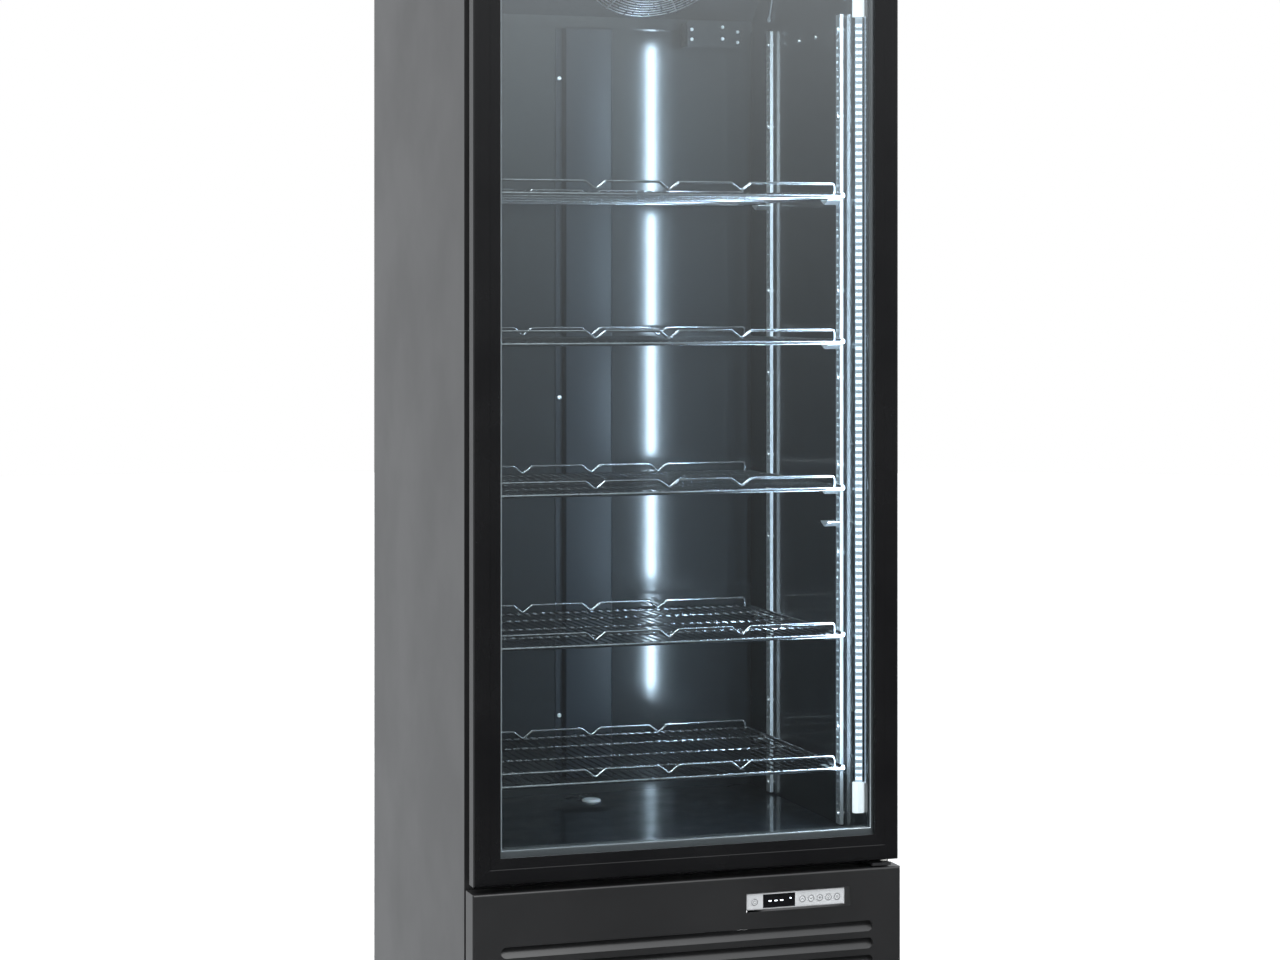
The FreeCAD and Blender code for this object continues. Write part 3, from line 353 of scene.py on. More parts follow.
# %% [markdown]
# The air duct cover is folded from a slightly lighter, bluish pre-painted sheet with less gloss,
# so it stands off the back wall as a paler stripe.

# %% Satin paint of the air duct
duct_paint = Finish("duct_paint_slate", (0.024, 0.030, 0.039), 0.36, Specular_IOR_Level=0.3)
duct_paint.relief(duct_paint.grain(1.8 * MM, 2.0), 0.01 * MM, 0.5)
duct_paint.gloss(duct_paint.grain(160 * MM, 2.0), 0.32, 0.4)
dress(duct_paint, "air_duct")

# %% [markdown]
# The frame that the door closes against is moulded from black plastic, so that cold isn't led
# outwards. Its mould is polished, so it mirrors the light, with a fine texture of about half a
# millimetre.

# %% Textured plastic of the opening frame
frame_plastic = Finish("opening_frame_plastic", (0.012, 0.012, 0.013), 0.24)
frame_plastic.relief(frame_plastic.grain(0.6 * MM, 3.0), 0.004 * MM, 0.4)
frame_plastic.gloss(frame_plastic.grain(60 * MM, 3.0), 0.18, 0.28)
dress(frame_plastic, "opening_frame")

# %% [markdown]
# The back sheet and the base tray are bare galvanised steel. Zinc freezes in crystals a
# centimetre or two wide, each with its own shade, and cell noise gives just that pattern.

# %% Galvanised sheet with its crystals
galvanised = Finish("galvanised_sheet", (0.5, 0.51, 0.52), 0.4, Metallic=1.0)
crystals = galvanised.tree.nodes.new("ShaderNodeTexVoronoi")
crystals.inputs["Scale"].default_value = 1 / (14 * MM)
galvanised.tree.links.new(galvanised.stretch(1.0, 1.0, 0.8), crystals.inputs["Vector"])
shade = galvanised.tree.nodes.new("ShaderNodeSeparateColor")
galvanised.tree.links.new(crystals.outputs["Color"], shade.inputs[0])
galvanised.colours(shade.outputs[0], (0.0, (0.40, 0.41, 0.43)), (1.0, (0.58, 0.59, 0.60)))
galvanised.gloss(shade.outputs[1], 0.32, 0.5)
galvanised.relief(shade.outputs[2], 0.02 * MM, 0.3)
dress(galvanised, "rear_panel", "base_tray")

# %% [markdown]
# Foam is poured between the skins and isn't seen. It is given its real yellowish cream and its
# cells anyway, for anyone who takes the cabinet apart.

# %% Poured foam
poured_foam = Finish("poured_foam", (0.78, 0.68, 0.42), 0.9)
cells = poured_foam.grain(2.5 * MM, 3.0)
poured_foam.colours(cells, (0.35, (0.70, 0.60, 0.36)), (0.65, (0.82, 0.73, 0.48)))
poured_foam.relief(cells, 0.5 * MM, 0.5)
dress(poured_foam, "insulation")

# %% [markdown]
# The two panes are tempered float glass with a metal-oxide coating that keeps them from misting,
# so they mirror more than plain glass. A pane this thin doesn't shift what is behind it, so it
# can be made of two simple parts: it lets light straight through, and its outer face mirrors a
# share that grows at a glancing angle. Lamps then shine through the door too. Faint smears of
# cleaning show only in the mirrored part.

# %% Helper: a thin clear sheet that mirrors on its outer face
def clear_sheet(name, tint, index, gloss_grain, roughest):
    """Lets light straight through, and mirrors a share of it on faces that look outwards."""
    sheet = Finish(name, tint, 0.02, IOR=index)
    tree = sheet.tree
    through = tree.nodes.new("ShaderNodeBsdfTransparent")
    through.inputs["Color"].default_value = (*tint, 1.0)
    mirror = tree.nodes.new("ShaderNodeBsdfGlossy")
    mirror.inputs["Color"].default_value = (0.95, 0.98, 1.0, 1.0)
    tree.links.new(sheet.scaled(gloss_grain(sheet), 0.0, roughest), mirror.inputs["Roughness"])
    share = tree.nodes.new("ShaderNodeFresnel")
    share.inputs["IOR"].default_value = index
    outward = tree.nodes.new("ShaderNodeMath")
    outward.operation = "SUBTRACT"
    outward.inputs[0].default_value = 1.0
    tree.links.new(tree.nodes.new("ShaderNodeNewGeometry").outputs["Backfacing"], outward.inputs[1])
    mirrored = tree.nodes.new("ShaderNodeMath")
    mirrored.operation = "MULTIPLY"
    tree.links.new(share.outputs[0], mirrored.inputs[0])
    tree.links.new(outward.outputs[0], mirrored.inputs[1])
    both = tree.nodes.new("ShaderNodeMixShader")
    tree.links.new(mirrored.outputs[0], both.inputs[0])
    tree.links.new(through.outputs[0], both.inputs[1])
    tree.links.new(mirror.outputs[0], both.inputs[2])
    tree.links.new(both.outputs[0], tree.nodes["Material Output"].inputs["Surface"])
    return sheet


# %% Coated glass
def wiping(sheet):
    """Broad smears, a little longer upwards."""
    return sheet.grain(140 * MM, 3.0, sheet.stretch(1.0, 1.0, 0.3))


coated_glass = clear_sheet("coated_glass", (0.965, 0.985, 0.985), 1.9, wiping, 0.012)
dress(coated_glass, "door_glass_front", "door_glass_rear")

# %% [markdown]
# The spacer between the panes is a folded strip of dark anodised aluminium. Rolling leaves fine
# lines on it.

# %% Spacer strip
spacer_strip = Finish("spacer_aluminium", (0.33, 0.35, 0.37), 0.3, Metallic=1.0)
rolled = spacer_strip.grain(0.5 * MM, 2.0)
spacer_strip.colours(rolled, (0.3, (0.30, 0.32, 0.34)), (0.7, (0.36, 0.38, 0.40)))
spacer_strip.gloss(rolled, 0.29, 0.31)
undressed.discard("glass_spacer")

# %% [markdown]
# The seal is soft black PVC. It is matt, a little dusty in the folds and slightly paler where it
# is pressed.

# %% Seal rubber
seal_rubber = Finish("seal_rubber", (0.018, 0.018, 0.019), 0.55)
dust = seal_rubber.grain(26 * MM, 5.0)
seal_rubber.colours(dust, (0.4, (0.014, 0.014, 0.015)), (0.75, (0.034, 0.034, 0.036)))
seal_rubber.gloss(dust, 0.48, 0.66)
seal_rubber.relief(seal_rubber.grain(0.9 * MM, 2.0), 0.02 * MM, 0.5)
dress(seal_rubber, "door_gasket")

# %% [markdown]
# Shelf standards, clips and small screws are zinc plated steel: bluish white, with the fine lines
# that pressing and polishing leave.

# %% Zinc plate
zinc_plate = Finish("zinc_plate", (0.86, 0.88, 0.90), 0.46, Metallic=1.0)
streaks = zinc_plate.grain(1.2 * MM, 3.0, zinc_plate.stretch(1.0, 1.0, 0.12))
zinc_plate.colours(streaks, (0.3, (0.84, 0.86, 0.88)), (0.7, (0.90, 0.92, 0.94)))
zinc_plate.gloss(streaks, 0.43, 0.49)
zinc_plate.relief(streaks, 0.0008 * MM, 0.1)
dress(zinc_plate, "shelf_clips", "screws")
for side in ("left", "right"):
    dress(zinc_plate, f"shelf_standard_{side}_front", f"shelf_standard_{side}_rear")

# %% [markdown]
# The hinge brackets are black too: thick steel with an electrophoretic dip, duller than the
# sheets.

# %% Dipped steel of the hinges
hinge_dip = Finish("hinge_black_dip", (0.02, 0.02, 0.021), 0.38)
hinge_dip.gloss(hinge_dip.grain(12 * MM, 3.0), 0.32, 0.46)
hinge_dip.relief(hinge_dip.grain(0.8 * MM, 2.0), 0.01 * MM, 0.5)
dress(hinge_dip, "hinge_brackets")

# %% [markdown]
# Shelves and the fan guard are drawn wire with a bright plated finish. Drawing leaves very fine
# lines, and plating over welds leaves small dull spots.

# %% Plated wire
plated_wire = Finish("plated_wire", (0.30, 0.31, 0.33), 0.2, Metallic=1.0)
dull = plated_wire.grain(7 * MM, 3.0)
plated_wire.colours(dull, (0.35, (0.26, 0.27, 0.29)), (0.6, (0.34, 0.35, 0.37)))
plated_wire.gloss(dull, 0.17, 0.22)

guard_wire = Finish("guard_wire_bright", (0.52, 0.54, 0.57), 0.3, Metallic=1.0)
guard_wire.gloss(guard_wire.grain(7 * MM, 3.0), 0.26, 0.34)
plating = guard_wire.grain(9 * MM, 3.0)
guard_wire.colours(plating, (0.35, (0.46, 0.48, 0.51)), (0.6, (0.58, 0.60, 0.63)))
dress(guard_wire, "evaporator_fan_guard")

# %% [markdown]
# The light's channel is extruded aluminium, its board is white glass-epoxy, and its cover is
# clear extruded plastic with faint lengthwise die lines. The board carries painted light: a faint
# emission stands in for the light its chips throw on it.

# %% Channel, board and cover of the light
channel_metal = Finish("lamp_channel_metal", (0.72, 0.74, 0.77), 0.1, Metallic=1.0)
die_lines = channel_metal.grain(1.0 * MM, 2.0, channel_metal.stretch(1.0, 1.0, 0.02))
channel_metal.gloss(die_lines, 0.06, 0.12)
dress(channel_metal, "led_channel")

# painted light: the board's faint bluish emission stands in for the chips' light falling on it
board_with_painted_glow = Finish("lamp_board_white", (0.82, 0.85, 0.88), 0.5,
                     Emission_Color=(0.72, 0.82, 0.95, 1.0), Emission_Strength=0.5)
board_with_painted_glow.relief(board_with_painted_glow.grain(2 * MM, 1.0), 0.01 * MM, 0.4)
clouds = board_with_painted_glow.grain(9 * MM, 2.0)
board_with_painted_glow.colours(clouds, (0.3, (0.76, 0.80, 0.84)), (0.7, (0.86, 0.89, 0.92)))
dress(board_with_painted_glow, "led_board")


def extruding(sheet):
    """Fine lines along the whole length."""
    return sheet.grain(0.8 * MM, 1.0, sheet.stretch(1.0, 1.0, 0.01))


cover_clear = clear_sheet("lamp_cover_clear", (0.97, 0.99, 1.0), 1.5, extruding, 0.08)
dress(cover_clear, "led_cover")

# %% [markdown]
# End caps and the drain cap are white moulded plastic, slightly waxy. The light's caps carry
# painted light: an emission stands in for the chips' light shining through them.

# %% White moulded plastic
def moulded(finish, low, high):
    """Clouded white between two shades, with the fine texture of a mould."""
    finish.colours(finish.grain(12 * MM, 3.0), (0.3, low), (0.7, high))
    finish.relief(finish.grain(1.2 * MM, 2.0), 0.01 * MM, 0.5)


white_moulding = Finish("white_moulding", (0.92, 0.93, 0.94), 0.38,
                        Subsurface_Weight=0.08, Subsurface_Scale=0.002)
moulded(white_moulding, (0.89, 0.90, 0.91), (0.94, 0.95, 0.96))
dress(white_moulding, "drain_cap")

# painted light: the caps' emission stands in for the chips' light shining through them
cap_moulding_painted_glow = Finish("lamp_cap_white", (0.86, 0.88, 0.90), 0.36,
                      Emission_Color=(0.9, 0.95, 1.0, 1.0), Emission_Strength=0.95)
moulded(cap_moulding_painted_glow, (0.82, 0.84, 0.86), (0.89, 0.91, 0.93))
dress(cap_moulding_painted_glow, "led_end_caps")

# %% [markdown]
# Motors, the compressor shell and the feet are black, each in its own way: enamel over pressed
# steel for the shell, textured plastic for the feet and the boxes.

# %% Enamel of the motors and the compressor
shell_enamel = Finish("shell_enamel", (0.012, 0.012, 0.013), 0.3)
shell_enamel.relief(shell_enamel.grain(3 * MM, 3.0), 0.03 * MM, 0.5)
shell_enamel.gloss(shell_enamel.grain(30 * MM, 4.0), 0.22, 0.4)
dress(shell_enamel, "evaporator_fan_motor", "condenser_fan_motor", "compressor")

# %% Black and grey plastics
fan_nylon = Finish("fan_nylon", (0.018, 0.018, 0.02), 0.44)
fan_nylon.gloss(fan_nylon.grain(15 * MM, 3.0), 0.36, 0.54)
fan_nylon.relief(fan_nylon.grain(0.7 * MM, 2.0), 0.015 * MM, 0.5)
dress(fan_nylon, "evaporator_fan_blade", "condenser_fan_blade")

box_plastic = Finish("box_plastic", (0.03, 0.032, 0.035), 0.46)
box_plastic.gloss(box_plastic.grain(20 * MM, 4.0), 0.38, 0.56)
box_plastic.relief(box_plastic.grain(0.6 * MM, 3.0), 0.02 * MM, 0.6)
dress(box_plastic, "electrical_box", "evaporating_tray")

foot_rubber = Finish("foot_plastic", (0.02, 0.02, 0.021), 0.6)
foot_rubber.gloss(foot_rubber.grain(8 * MM, 4.0), 0.5, 0.7)
foot_rubber.relief(foot_rubber.grain(1.0 * MM, 3.0), 0.04 * MM, 0.6)
dress(foot_rubber, "levelling_feet")

hinge_nylon = Finish("hinge_bush_nylon", (0.72, 0.71, 0.66), 0.42)
hinge_nylon.gloss(hinge_nylon.grain(4 * MM, 2.0), 0.36, 0.5)
dress(hinge_nylon, "hinge_bushes")

# %% [markdown]
# Copper pipe darkens unevenly as it is handled and brazed, from bright salmon to brown.

# %% Copper pipe
copper_pipe = Finish("copper_pipe", (0.72, 0.36, 0.22), 0.32, Metallic=1.0)
tarnish = copper_pipe.grain(18 * MM, 5.0)
copper_pipe.colours(tarnish, (0.3, (0.45, 0.20, 0.12)), (0.55, (0.78, 0.42, 0.28)),
                    (0.75, (0.62, 0.30, 0.17)))
copper_pipe.gloss(tarnish, 0.22, 0.46)
dress(copper_pipe, "refrigerant_pipes")

# %% [markdown]
# Fin packs are thin aluminium sheets a few millimetres apart.

# %% Aluminium of the fin packs
fin_metal = Finish("fin_aluminium", (0.62, 0.64, 0.66), 0.36, Metallic=1.0)
fin_metal.gloss(fin_metal.grain(5 * MM, 3.0), 0.28, 0.5)
oxide = fin_metal.grain(22 * MM, 4.0)
fin_metal.colours(oxide, (0.3, (0.52, 0.54, 0.56)), (0.7, (0.68, 0.70, 0.72)))
dress(fin_metal, "evaporator_coil", "condenser_coil")

# %% [markdown]
# The controller's face is plastic with a sprayed silver finish. Its screen is dark smoked
# plastic, and its buttons are a shade greyer than the face, so they can be found.

# %% Silver face, smoked screen and grey buttons
silver_face = Finish("controller_silver", (0.66, 0.67, 0.68), 0.34, Metallic=0.35)
flakes = silver_face.grain(0.5 * MM, 1.0)
silver_face.colours(flakes, (0.3, (0.60, 0.61, 0.62)), (0.7, (0.74, 0.75, 0.76)))
silver_face.gloss(silver_face.grain(14 * MM, 3.0), 0.28, 0.42)
dress(silver_face, "controller_case")

smoked_screen = Finish("smoked_screen", (0.006, 0.006, 0.007), 0.12)
smoked_screen.gloss(smoked_screen.grain(18 * MM, 3.0), 0.08, 0.16)
dress(smoked_screen, "controller_display")

button_cap = Finish("button_cap", (0.56, 0.57, 0.58), 0.4)
button_cap.relief(button_cap.grain(0.5 * MM, 2.0), 0.01 * MM, 0.6)
button_cap.gloss(button_cap.grain(3 * MM, 2.0), 0.34, 0.46)
dress(button_cap, *[f"button_{number}" for number in range(1, 7)])
left_over = sorted(name for name in undressed if not name.startswith("shelf_"))
print("pieces still without a finish:", left_over)

# %% [markdown]
# ## Round wires
# A wire shelf is cut from round wire and spot welded, so every wire must be round. A wire is
# drawn along its path by carrying a small ring from point to point. At a bend the ring is turned
# half way, as a mitre, and the bend itself is made of short steps on an arc, as a bending tool
# makes it.

# %% Helpers: bend a path and draw wires along paths
def bend(points, radius, steps=4):
    """Rounds the corners of an open path."""
    points = [Vector(p) for p in points]
    rounded = [points[0]]
    for before, corner, after in zip(points, points[1:], points[2:]):
        back, ahead = before - corner, after - corner
        angle = back.angle(ahead)
        if angle > math.radians(176):
            continue
        run = min(radius / math.tan(angle / 2), back.length * 0.48, ahead.length * 0.48)
        start, end = corner + back.normalized() * run, corner + ahead.normalized() * run
        for i in range(steps + 1):
            t = i / steps
            rounded.append(start * (1 - t) ** 2 + corner * 2 * t * (1 - t) + end * t ** 2)
    rounded.append(points[-1])
    return rounded


def draw_wire(mesh, path, radius, sides=8):
    """Adds one round wire along a path to a mesh under construction."""
    rings = []
    side = None
    for i, point in enumerate(path):
        into = (point - path[i - 1]).normalized() if i else (path[1] - point).normalized()
        out_of = (path[i + 1] - point).normalized() if i + 1 < len(path) else into
        along = (into + out_of).normalized()
        if side is None:
            side = along.orthogonal().normalized()
        side = (side - along * side.dot(along)).normalized()
        other = along.cross(side)
        turn = [i * math.tau / sides for i in range(sides)]
        rings.append([mesh.verts.new(point + radius * (math.cos(a) * side + math.sin(a) * other))
                      for a in turn])
    for one, two in zip(rings, rings[1:]):
        for i in range(sides):
            mesh.faces.new((one[i], one[(i + 1) % sides], two[(i + 1) % sides], two[i]))
    mesh.faces.new(list(reversed(rings[0])))
    mesh.faces.new(rings[-1])


def make_piece(name, mesh, finish, body, smooth=True, stands_for=()):
    """Turns a mesh under construction into a piece that rides on a body."""
    bmesh.ops.recalc_face_normals(mesh, faces=mesh.faces[:])
    data = bpy.data.meshes.new(name)
    mesh.to_mesh(data)
    mesh.free()
    piece = bpy.data.objects.new(name, data)
    bpy.context.collection.objects.link(piece)
    data.materials.append(finish.material)
    if smooth:
        data.shade_smooth()
        data.set_sharp_from_angle(angle=math.radians(50))
    if stands_for:
        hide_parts(*stands_for)
    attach(piece, body)
    return piece


# %% [markdown]
# A shelf is a mat of thin wires from front to back, welded onto thicker rods from side to side.
# The front rod is the thickest, because people lean on it, and a side wire closes each end. Two
# bent rods stand on the deck as bottle guards: flat runs with a V down to the deck, which is
# where the rod is welded.

# %% Measure a shelf
THIN, ROD, GUARD = 2.6 * MM, 6.0 * MM, 4.0 * MM
PITCH = 13.7 * MM
GUARD_HALF, GUARD_TALL, GUARD_REAR = 261.5 * MM, 14 * MM, 181 * MM
DIPS, DIP_REACH = (-113 * MM, 0.0, 113 * MM), 15 * MM
ROD_SHARES, REAR_RODS_THINNER, WELD = (0.0, 0.27, 0.52, 0.78, 1.0), 0.8 * MM, 0.4 * MM


def shelf_paths(low, high, level):
    """Paths and radii of one shelf's wires, from its CAD box and the height of its deck."""
    west, east, front, back = low.x + ROD / 2, high.x - ROD / 2, low.y, high.y
    wires = []
    count = int((east - west) / PITCH)
    for i in range(count + 1):
        x, z = (i - count / 2) * PITCH, level - THIN / 2
        ends = [Vector((x, front + 0.4 * MM, z)), Vector((x, back - 0.6 * MM, z))]
        wires.append((ends, THIN / 2))
    rod_z = level - THIN - ROD / 2 + WELD
    for share in ROD_SHARES:
        y = front + ROD / 2 + (back - front - ROD) * share
        radius = ROD / 2 - (REAR_RODS_THINNER if share else 0)
        wires.append(([Vector((west, y, rod_z)), Vector((east, y, rod_z))], radius))
    frame_z = level - ROD / 2
    hoop = [(west, back - ROD / 2, frame_z), (west, front + ROD / 2, frame_z)]
    wires.append((bend(hoop, 4 * MM), ROD / 2))
    wires.append((bend([(east, y, z) for _, y, z in hoop], 4 * MM), ROD / 2))
    return wires


def guard_path(y, level):
    """The bent rod of a bottle guard."""
    foot, top, dip = level - 1.0 * MM, level + GUARD_TALL, level + GUARD / 2 + 0.3 * MM
    points = [(-GUARD_HALF, y, foot), (-GUARD_HALF, y, top)]
    for x in DIPS:
        points += [(x - DIP_REACH, y, top), (x, y, dip), (x + DIP_REACH, y, top)]
    return bend(points + [(GUARD_HALF, y, top), (GUARD_HALF, y, foot)], 5 * MM, 5)


# %% Draw the five shelves
for number in range(1, 6):
    low, high = (Vector(corner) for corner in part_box(f"shelf_{number}"))
    level = high.z - GUARD_TALL - GUARD / 2
    mat = bmesh.new()
    for path, radius in shelf_paths(low, high, level):
        draw_wire(mat, path, radius, 8)
    for y in (low.y + 2.5 * MM, GUARD_REAR):
        draw_wire(mat, guard_path(y, level), GUARD / 2, 10)
    shelf = make_piece(f"shelf_wires_{number}", mat, plated_wire, f"shelf_{number}",
                       stands_for=[f"shelf_{number}"])
    print(shelf.name, "deck at", round(level, 4), "with", len(shelf.data.polygons), "faces")

# %% [markdown]
# ## Light chips
# Each chip is a small raised window of phosphor that shines bluish white. They sit in pairs, side
# by side, every ten millimetres on the tilted face of the board. One mesh holds them all, because
# they are soldered to one board and nothing moves.

# %% Chips on the tilted board
CHIP_PITCH, CHIP_WIDE, CHIP_TALL, CHIP_THICK = 10 * MM, 4.0 * MM, 4.6 * MM, 0.5 * MM
PAIR_APART = 5.0 * MM
chip_glow = Finish("chip_glow", (0.95, 0.97, 1.0), 0.3,
                   Emission_Color=(0.74, 0.87, 1.0, 1.0), Emission_Strength=2.6)
chip_glow.relief(chip_glow.grain(0.8 * MM, 1.0), 0.01 * MM, 0.2)
# seen from above, the board's shining face runs from its rear left corner to its front right one
rear_left = Vector((board_low.x, board_high.y - 0.91 * MM, 0))
front_right = Vector((board_high.x - 0.42 * MM, board_low.y, 0))
across = (front_right - rear_left).normalized()
outward = Vector((across.y, -across.x, 0))
seat = (rear_left + front_right) / 2
chips = bmesh.new()
chip_count = int((board_high.z - board_low.z) / CHIP_PITCH)
for i in range(2 * chip_count):
    centre = Vector((seat.x, seat.y, board_low.z + (i // 2 + 0.5) * CHIP_PITCH))
    centre += across * PAIR_APART * (i % 2 - 0.5)
    layers = []
    for depth, shrink in ((0.0, 0.0), (CHIP_THICK * 0.7, 0.0), (CHIP_THICK, 0.35 * MM)):
        half_w, half_t = CHIP_WIDE / 2 - shrink, CHIP_TALL / 2 - shrink
        base = centre + outward * depth
        layers.append([chips.verts.new(base + across * half_w * a + Vector((0, 0, half_t * b)))
                       for a, b in ((-1, -1), (1, -1), (1, 1), (-1, 1))])
    for one, two in zip(layers, layers[1:]):
        for k in range(4):
            chips.faces.new((one[k], one[(k + 1) % 4], two[(k + 1) % 4], two[k]))
    chips.faces.new(layers[-1])
    chips.faces.new(list(reversed(layers[0])))
make_piece("led_chips", chips, chip_glow, "cabinet", smooth=False)
print(chip_count, "pairs of chips every", CHIP_PITCH / MM, "mm")
print("they face", [round(v, 2) for v in outward])

# %% [markdown]
# ## Air duct cover
# The cover of the air duct is one sheet folded along its whole height. A folded edge is never
# sharp: its radius of about two millimetres catches the light as a thin bright line, and without
# it the cover looks like cut paper. The folds are drawn as arcs and the profile is pulled up.

# %% Fold the duct cover
duct_low, duct_high = (Vector(corner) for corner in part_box("air_duct"))
FLANGE, SHEET, FOLD = 12 * MM, 1.2 * MM, 2.4 * MM
wall_y = duct_high.y - 0.1 * MM
face_y, lean = duct_low.y + SHEET / 2, 3 * MM
corners = [(duct_low.x + 0.3 * MM, wall_y - SHEET), (duct_low.x + FLANGE, wall_y - SHEET),
           (duct_low.x + FLANGE + lean, face_y), (duct_high.x - SHEET / 2, face_y),
           (duct_high.x - SHEET / 2, wall_y)]
fold_line = bend([(x, y, 0) for x, y in corners], FOLD, 5)
duct = bmesh.new()
levels = (duct_low.z, duct_high.z)
rims = []
for i, point in enumerate(fold_line):
    before = fold_line[max(i - 1, 0)]
    after = fold_line[min(i + 1, len(fold_line) - 1)]
    along = (after - before).normalized()
    normal = Vector((along.y, -along.x, 0)) * SHEET / 2
    rims.append([[duct.verts.new((p.x, p.y, z)) for z in levels]
                 for p in (point + normal, point - normal)])
for (a_out, a_in), (b_out, b_in) in zip(rims, rims[1:]):
    duct.faces.new((a_out[0], b_out[0], b_out[1], a_out[1]))
    duct.faces.new((a_in[0], a_in[1], b_in[1], b_in[0]))
    for k in (0, 1):
        duct.faces.new((a_out[k], a_in[k], b_in[k], b_out[k]))
for out_edge, in_edge in (rims[0], rims[-1]):
    duct.faces.new((out_edge[0], out_edge[1], in_edge[1], in_edge[0]))
make_piece("air_duct_cover", duct, duct_paint, "cabinet", stands_for=["air_duct"])
print("duct cover", round((duct_high.x - duct_low.x) / MM), "mm wide,", len(fold_line), "points")

# %% [markdown]
# ## Spacer between the panes
# The spacer is one rolled strip, bent into a rectangle, with rounded shoulders. A hair of sealant
# keeps it off both panes. One profile is carried round the four corners, and each corner is a
# mitre.

# %% Draw the spacer
spacer_low, spacer_high = (Vector(corner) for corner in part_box("glass_spacer"))
SPACER_WIDE, SHOULDER, SEALANT = 11 * MM, 1.6 * MM, 0.25 * MM
deep = spacer_high.y - spacer_low.y - SEALANT
CORNER = 0.3 * SHOULDER  # where the shoulder's middle point sits
profile = [(0, SEALANT), (SPACER_WIDE - SHOULDER, SEALANT),
           (SPACER_WIDE - CORNER, SEALANT + CORNER),
           (SPACER_WIDE, SEALANT + SHOULDER), (SPACER_WIDE, deep - SHOULDER),
           (SPACER_WIDE - CORNER, deep - CORNER), (SPACER_WIDE - SHOULDER, deep), (0, deep)]
spacer = bmesh.new()
loops = []
for inward, back in profile:
    west, east = spacer_low.x + inward, spacer_high.x - inward
    bottom, top = spacer_low.z + inward, spacer_high.z - inward
    loops.append([spacer.verts.new((x, spacer_low.y + back, z))
                  for x, z in ((west, bottom), (east, bottom), (east, top), (west, top))])
for one, two in zip(loops, loops[1:] + loops[:1]):
    for k in range(4):
        spacer.faces.new((one[k], one[(k + 1) % 4], two[(k + 1) % 4], two[k]))
make_piece("spacer_frame", spacer, spacer_strip, "door",
           stands_for=["glass_spacer"])
print("spacer", round(deep / MM, 1), "mm deep")

# %% [markdown]
# ## Sensor lead
# A thin cable comes down from the evaporator housing along the right wall and ends in the
# thermostat's sensing bead. It is held by the housing and by its clip, so it is drawn as a short
# fixed wire.

# %% Sensor lead and bead
sensor_plastic = Finish("sensor_lead_grey", (0.32, 0.34, 0.36), 0.45)
sensor_plastic.gloss(sensor_plastic.grain(3 * MM, 2.0), 0.38, 0.55)
wall_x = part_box("liner_walls")[1][0] - 1.2 * MM
housing_low = Vector(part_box("evaporator_cover")[0])
BEAD_UP, BEAD_OUT, BEAD_LONG = 14 * MM, 3.4 * MM, 1.5
lead = bmesh.new()
line = [(wall_x - 3 * MM, 0.135, housing_low.z + 75 * MM),
        (wall_x - 3.2 * MM, 0.140, housing_low.z + 40 * MM),
        (wall_x - BEAD_OUT, 0.150, housing_low.z + 18 * MM)]
draw_wire(lead, bend(line, 30 * MM, 6), 1.3 * MM, 8)
bead = bmesh.ops.create_uvsphere(lead, u_segments=14, v_segments=9, radius=3.0 * MM)
bead_at = Vector((wall_x - BEAD_OUT, 0.1515, housing_low.z + BEAD_UP))
for vert in bead["verts"]:
    vert.co = Vector((vert.co.x, vert.co.y, vert.co.z * BEAD_LONG)) + bead_at
make_piece("sensor_lead", lead, sensor_plastic, "cabinet")
print("sensor bead at", round(bead_at.z, 3))

# %% [markdown]
# ## Controller marks
# The screen shows three bars, as it does before the first reading, and a small running mark. The
# buttons carry printed signs. Both are thin shapes a tenth of a millimetre proud, which is what
# printing ink would be. They are generic: bars, a ring, arrows and a snow star.

# %% Helpers: flat strokes on the controller's face
screen_glow = Finish("screen_digits", (0.8, 0.85, 0.9), 0.4,
                     Emission_Color=(0.85, 0.93, 1.0, 1.0), Emission_Strength=1.6)
screen_glow.relief(screen_glow.grain(0.4 * MM, 1.0), 0.002 * MM, 0.2)
sign_ink = Finish("sign_ink", (0.03, 0.031, 0.036), 0.5)
sign_ink.gloss(sign_ink.grain(1.0 * MM, 2.0), 0.44, 0.56)
INK, OFF_FACE = 0.12 * MM, 0.02 * MM


def stroke(mesh, start, end, width, y):
    """A flat bar from start to end, (x, z) on the face at depth y."""
    start, end = Vector((start[0], 0, start[1])), Vector((end[0], 0, end[1]))
    along = (end - start).normalized()
    beside = Vector((-along.z, 0, along.x)) * width / 2
    outline = [start - along * width / 2 + beside * 0.4, start + beside, end + beside,
               end + along * width / 2, end - beside, start - beside]
    back = [mesh.verts.new(p + Vector((0, y, 0))) for p in outline]
    face = [mesh.verts.new(p + Vector((0, y - INK, 0))) for p in outline]
    mesh.faces.new(face)
    mesh.faces.new(list(reversed(back)))
    for k in range(len(back)):
        mesh.faces.new((back[k], back[(k + 1) % len(back)], face[(k + 1) % len(back)], face[k]))


def ring_strokes(mesh, centre, radius, width, y, start=0.0, sweep=math.tau, steps=10):
    """A ring or an arc made of short bars."""
    angles = [start + sweep * i / steps for i in range(steps + 1)]
    spots = [(centre[0] + radius * math.cos(a), centre[1] + radius * math.sin(a)) for a in angles]
    for one, two in zip(spots, spots[1:]):
        stroke(mesh, one, two, width, y)


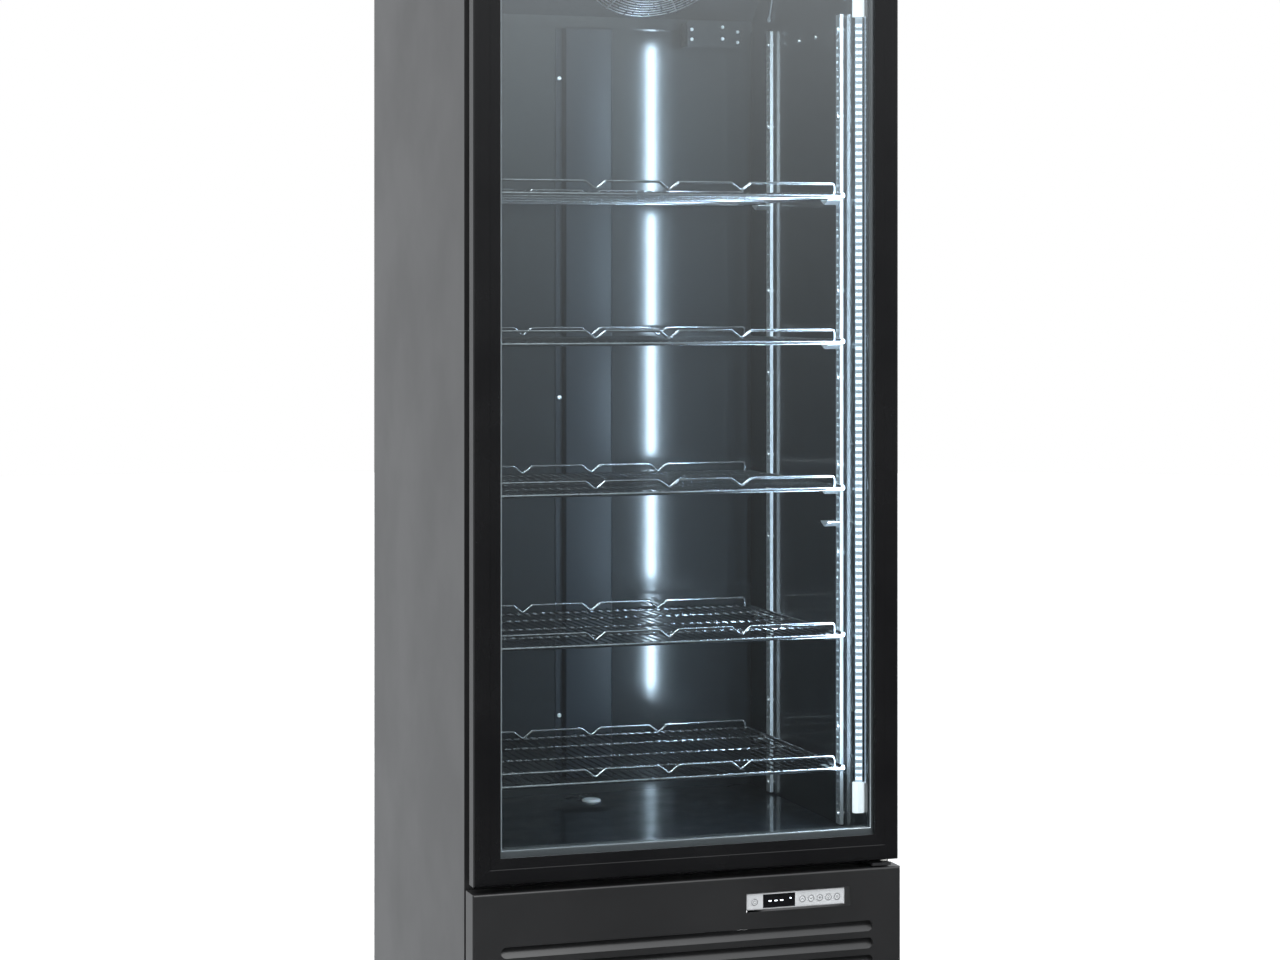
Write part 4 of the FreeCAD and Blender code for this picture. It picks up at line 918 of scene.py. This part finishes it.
# %% Bars and a mark on the screen
screen_low, screen_high = (Vector(corner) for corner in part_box("controller_display"))
screen_z, screen_y = (screen_low.z + screen_high.z) / 2, screen_low.y - OFF_FACE
BAR_WIDE, BAR_TALL, BAR_PITCH = 3.8 * MM, 1.7 * MM, 9.0 * MM
digits = bmesh.new()
for place in (1, 2, 3):
    left = screen_low.x + place * BAR_PITCH
    stroke(digits, (left, screen_z), (left + BAR_WIDE, screen_z), BAR_TALL, screen_y)
mark = (screen_high.x - 7 * MM, screen_z + 2.2 * MM)
ring_strokes(digits, mark, 0.9 * MM, 0.7 * MM, screen_y)
make_piece("screen_digits", digits, screen_glow, "cabinet", smooth=False)
print("three bars", round(screen_z, 3), "m up, lit on the dark screen")

# %% Signs on the buttons
for number in range(1, 7):
    low, high = (Vector(corner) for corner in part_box(f"button_{number}"))
    x, z, y = (low.x + high.x) / 2, (low.z + high.z) / 2, low.y - OFF_FACE
    sign = bmesh.new()
    ring_strokes(sign, (x, z), 4.2 * MM, 0.7 * MM, y, steps=20)
    if number == 1:
        ring_strokes(sign, (x, z), 2.2 * MM, 0.6 * MM, y, math.radians(120), math.radians(300))
        stroke(sign, (x, z + 0.6 * MM), (x, z + 2.8 * MM), 0.6 * MM, y)
    elif number in (2, 3):
        up = 1 if number == 2 else -1
        stroke(sign, (x - 2 * MM, z - up * 1.0 * MM), (x, z + up * 1.2 * MM), 0.7 * MM, y)
        stroke(sign, (x, z + up * 1.2 * MM), (x + 2 * MM, z - up * 1.0 * MM), 0.7 * MM, y)
    elif number == 4:
        for a in range(3):
            reach = Vector((math.cos(math.pi * a / 3), math.sin(math.pi * a / 3))) * 2.5 * MM
            stroke(sign, (x - reach.x, z - reach.y), (x + reach.x, z + reach.y), 0.5 * MM, y)
    elif number == 5:
        ring_strokes(sign, (x, z + 0.5 * MM), 1.7 * MM, 0.5 * MM, y)
        stroke(sign, (x - 1 * MM, z - 2.3 * MM), (x + 1 * MM, z - 2.3 * MM), 0.5 * MM, y)
    else:
        for row in (-1.4, 0.0, 1.4):
            stroke(sign, (x - 2 * MM, z + row * MM), (x + 2 * MM, z + row * MM), 0.5 * MM, y)
    make_piece(f"button_sign_{number}", sign, sign_ink, f"button_{number}",
               smooth=False)
print("six signs, each", INK / MM, "mm proud")
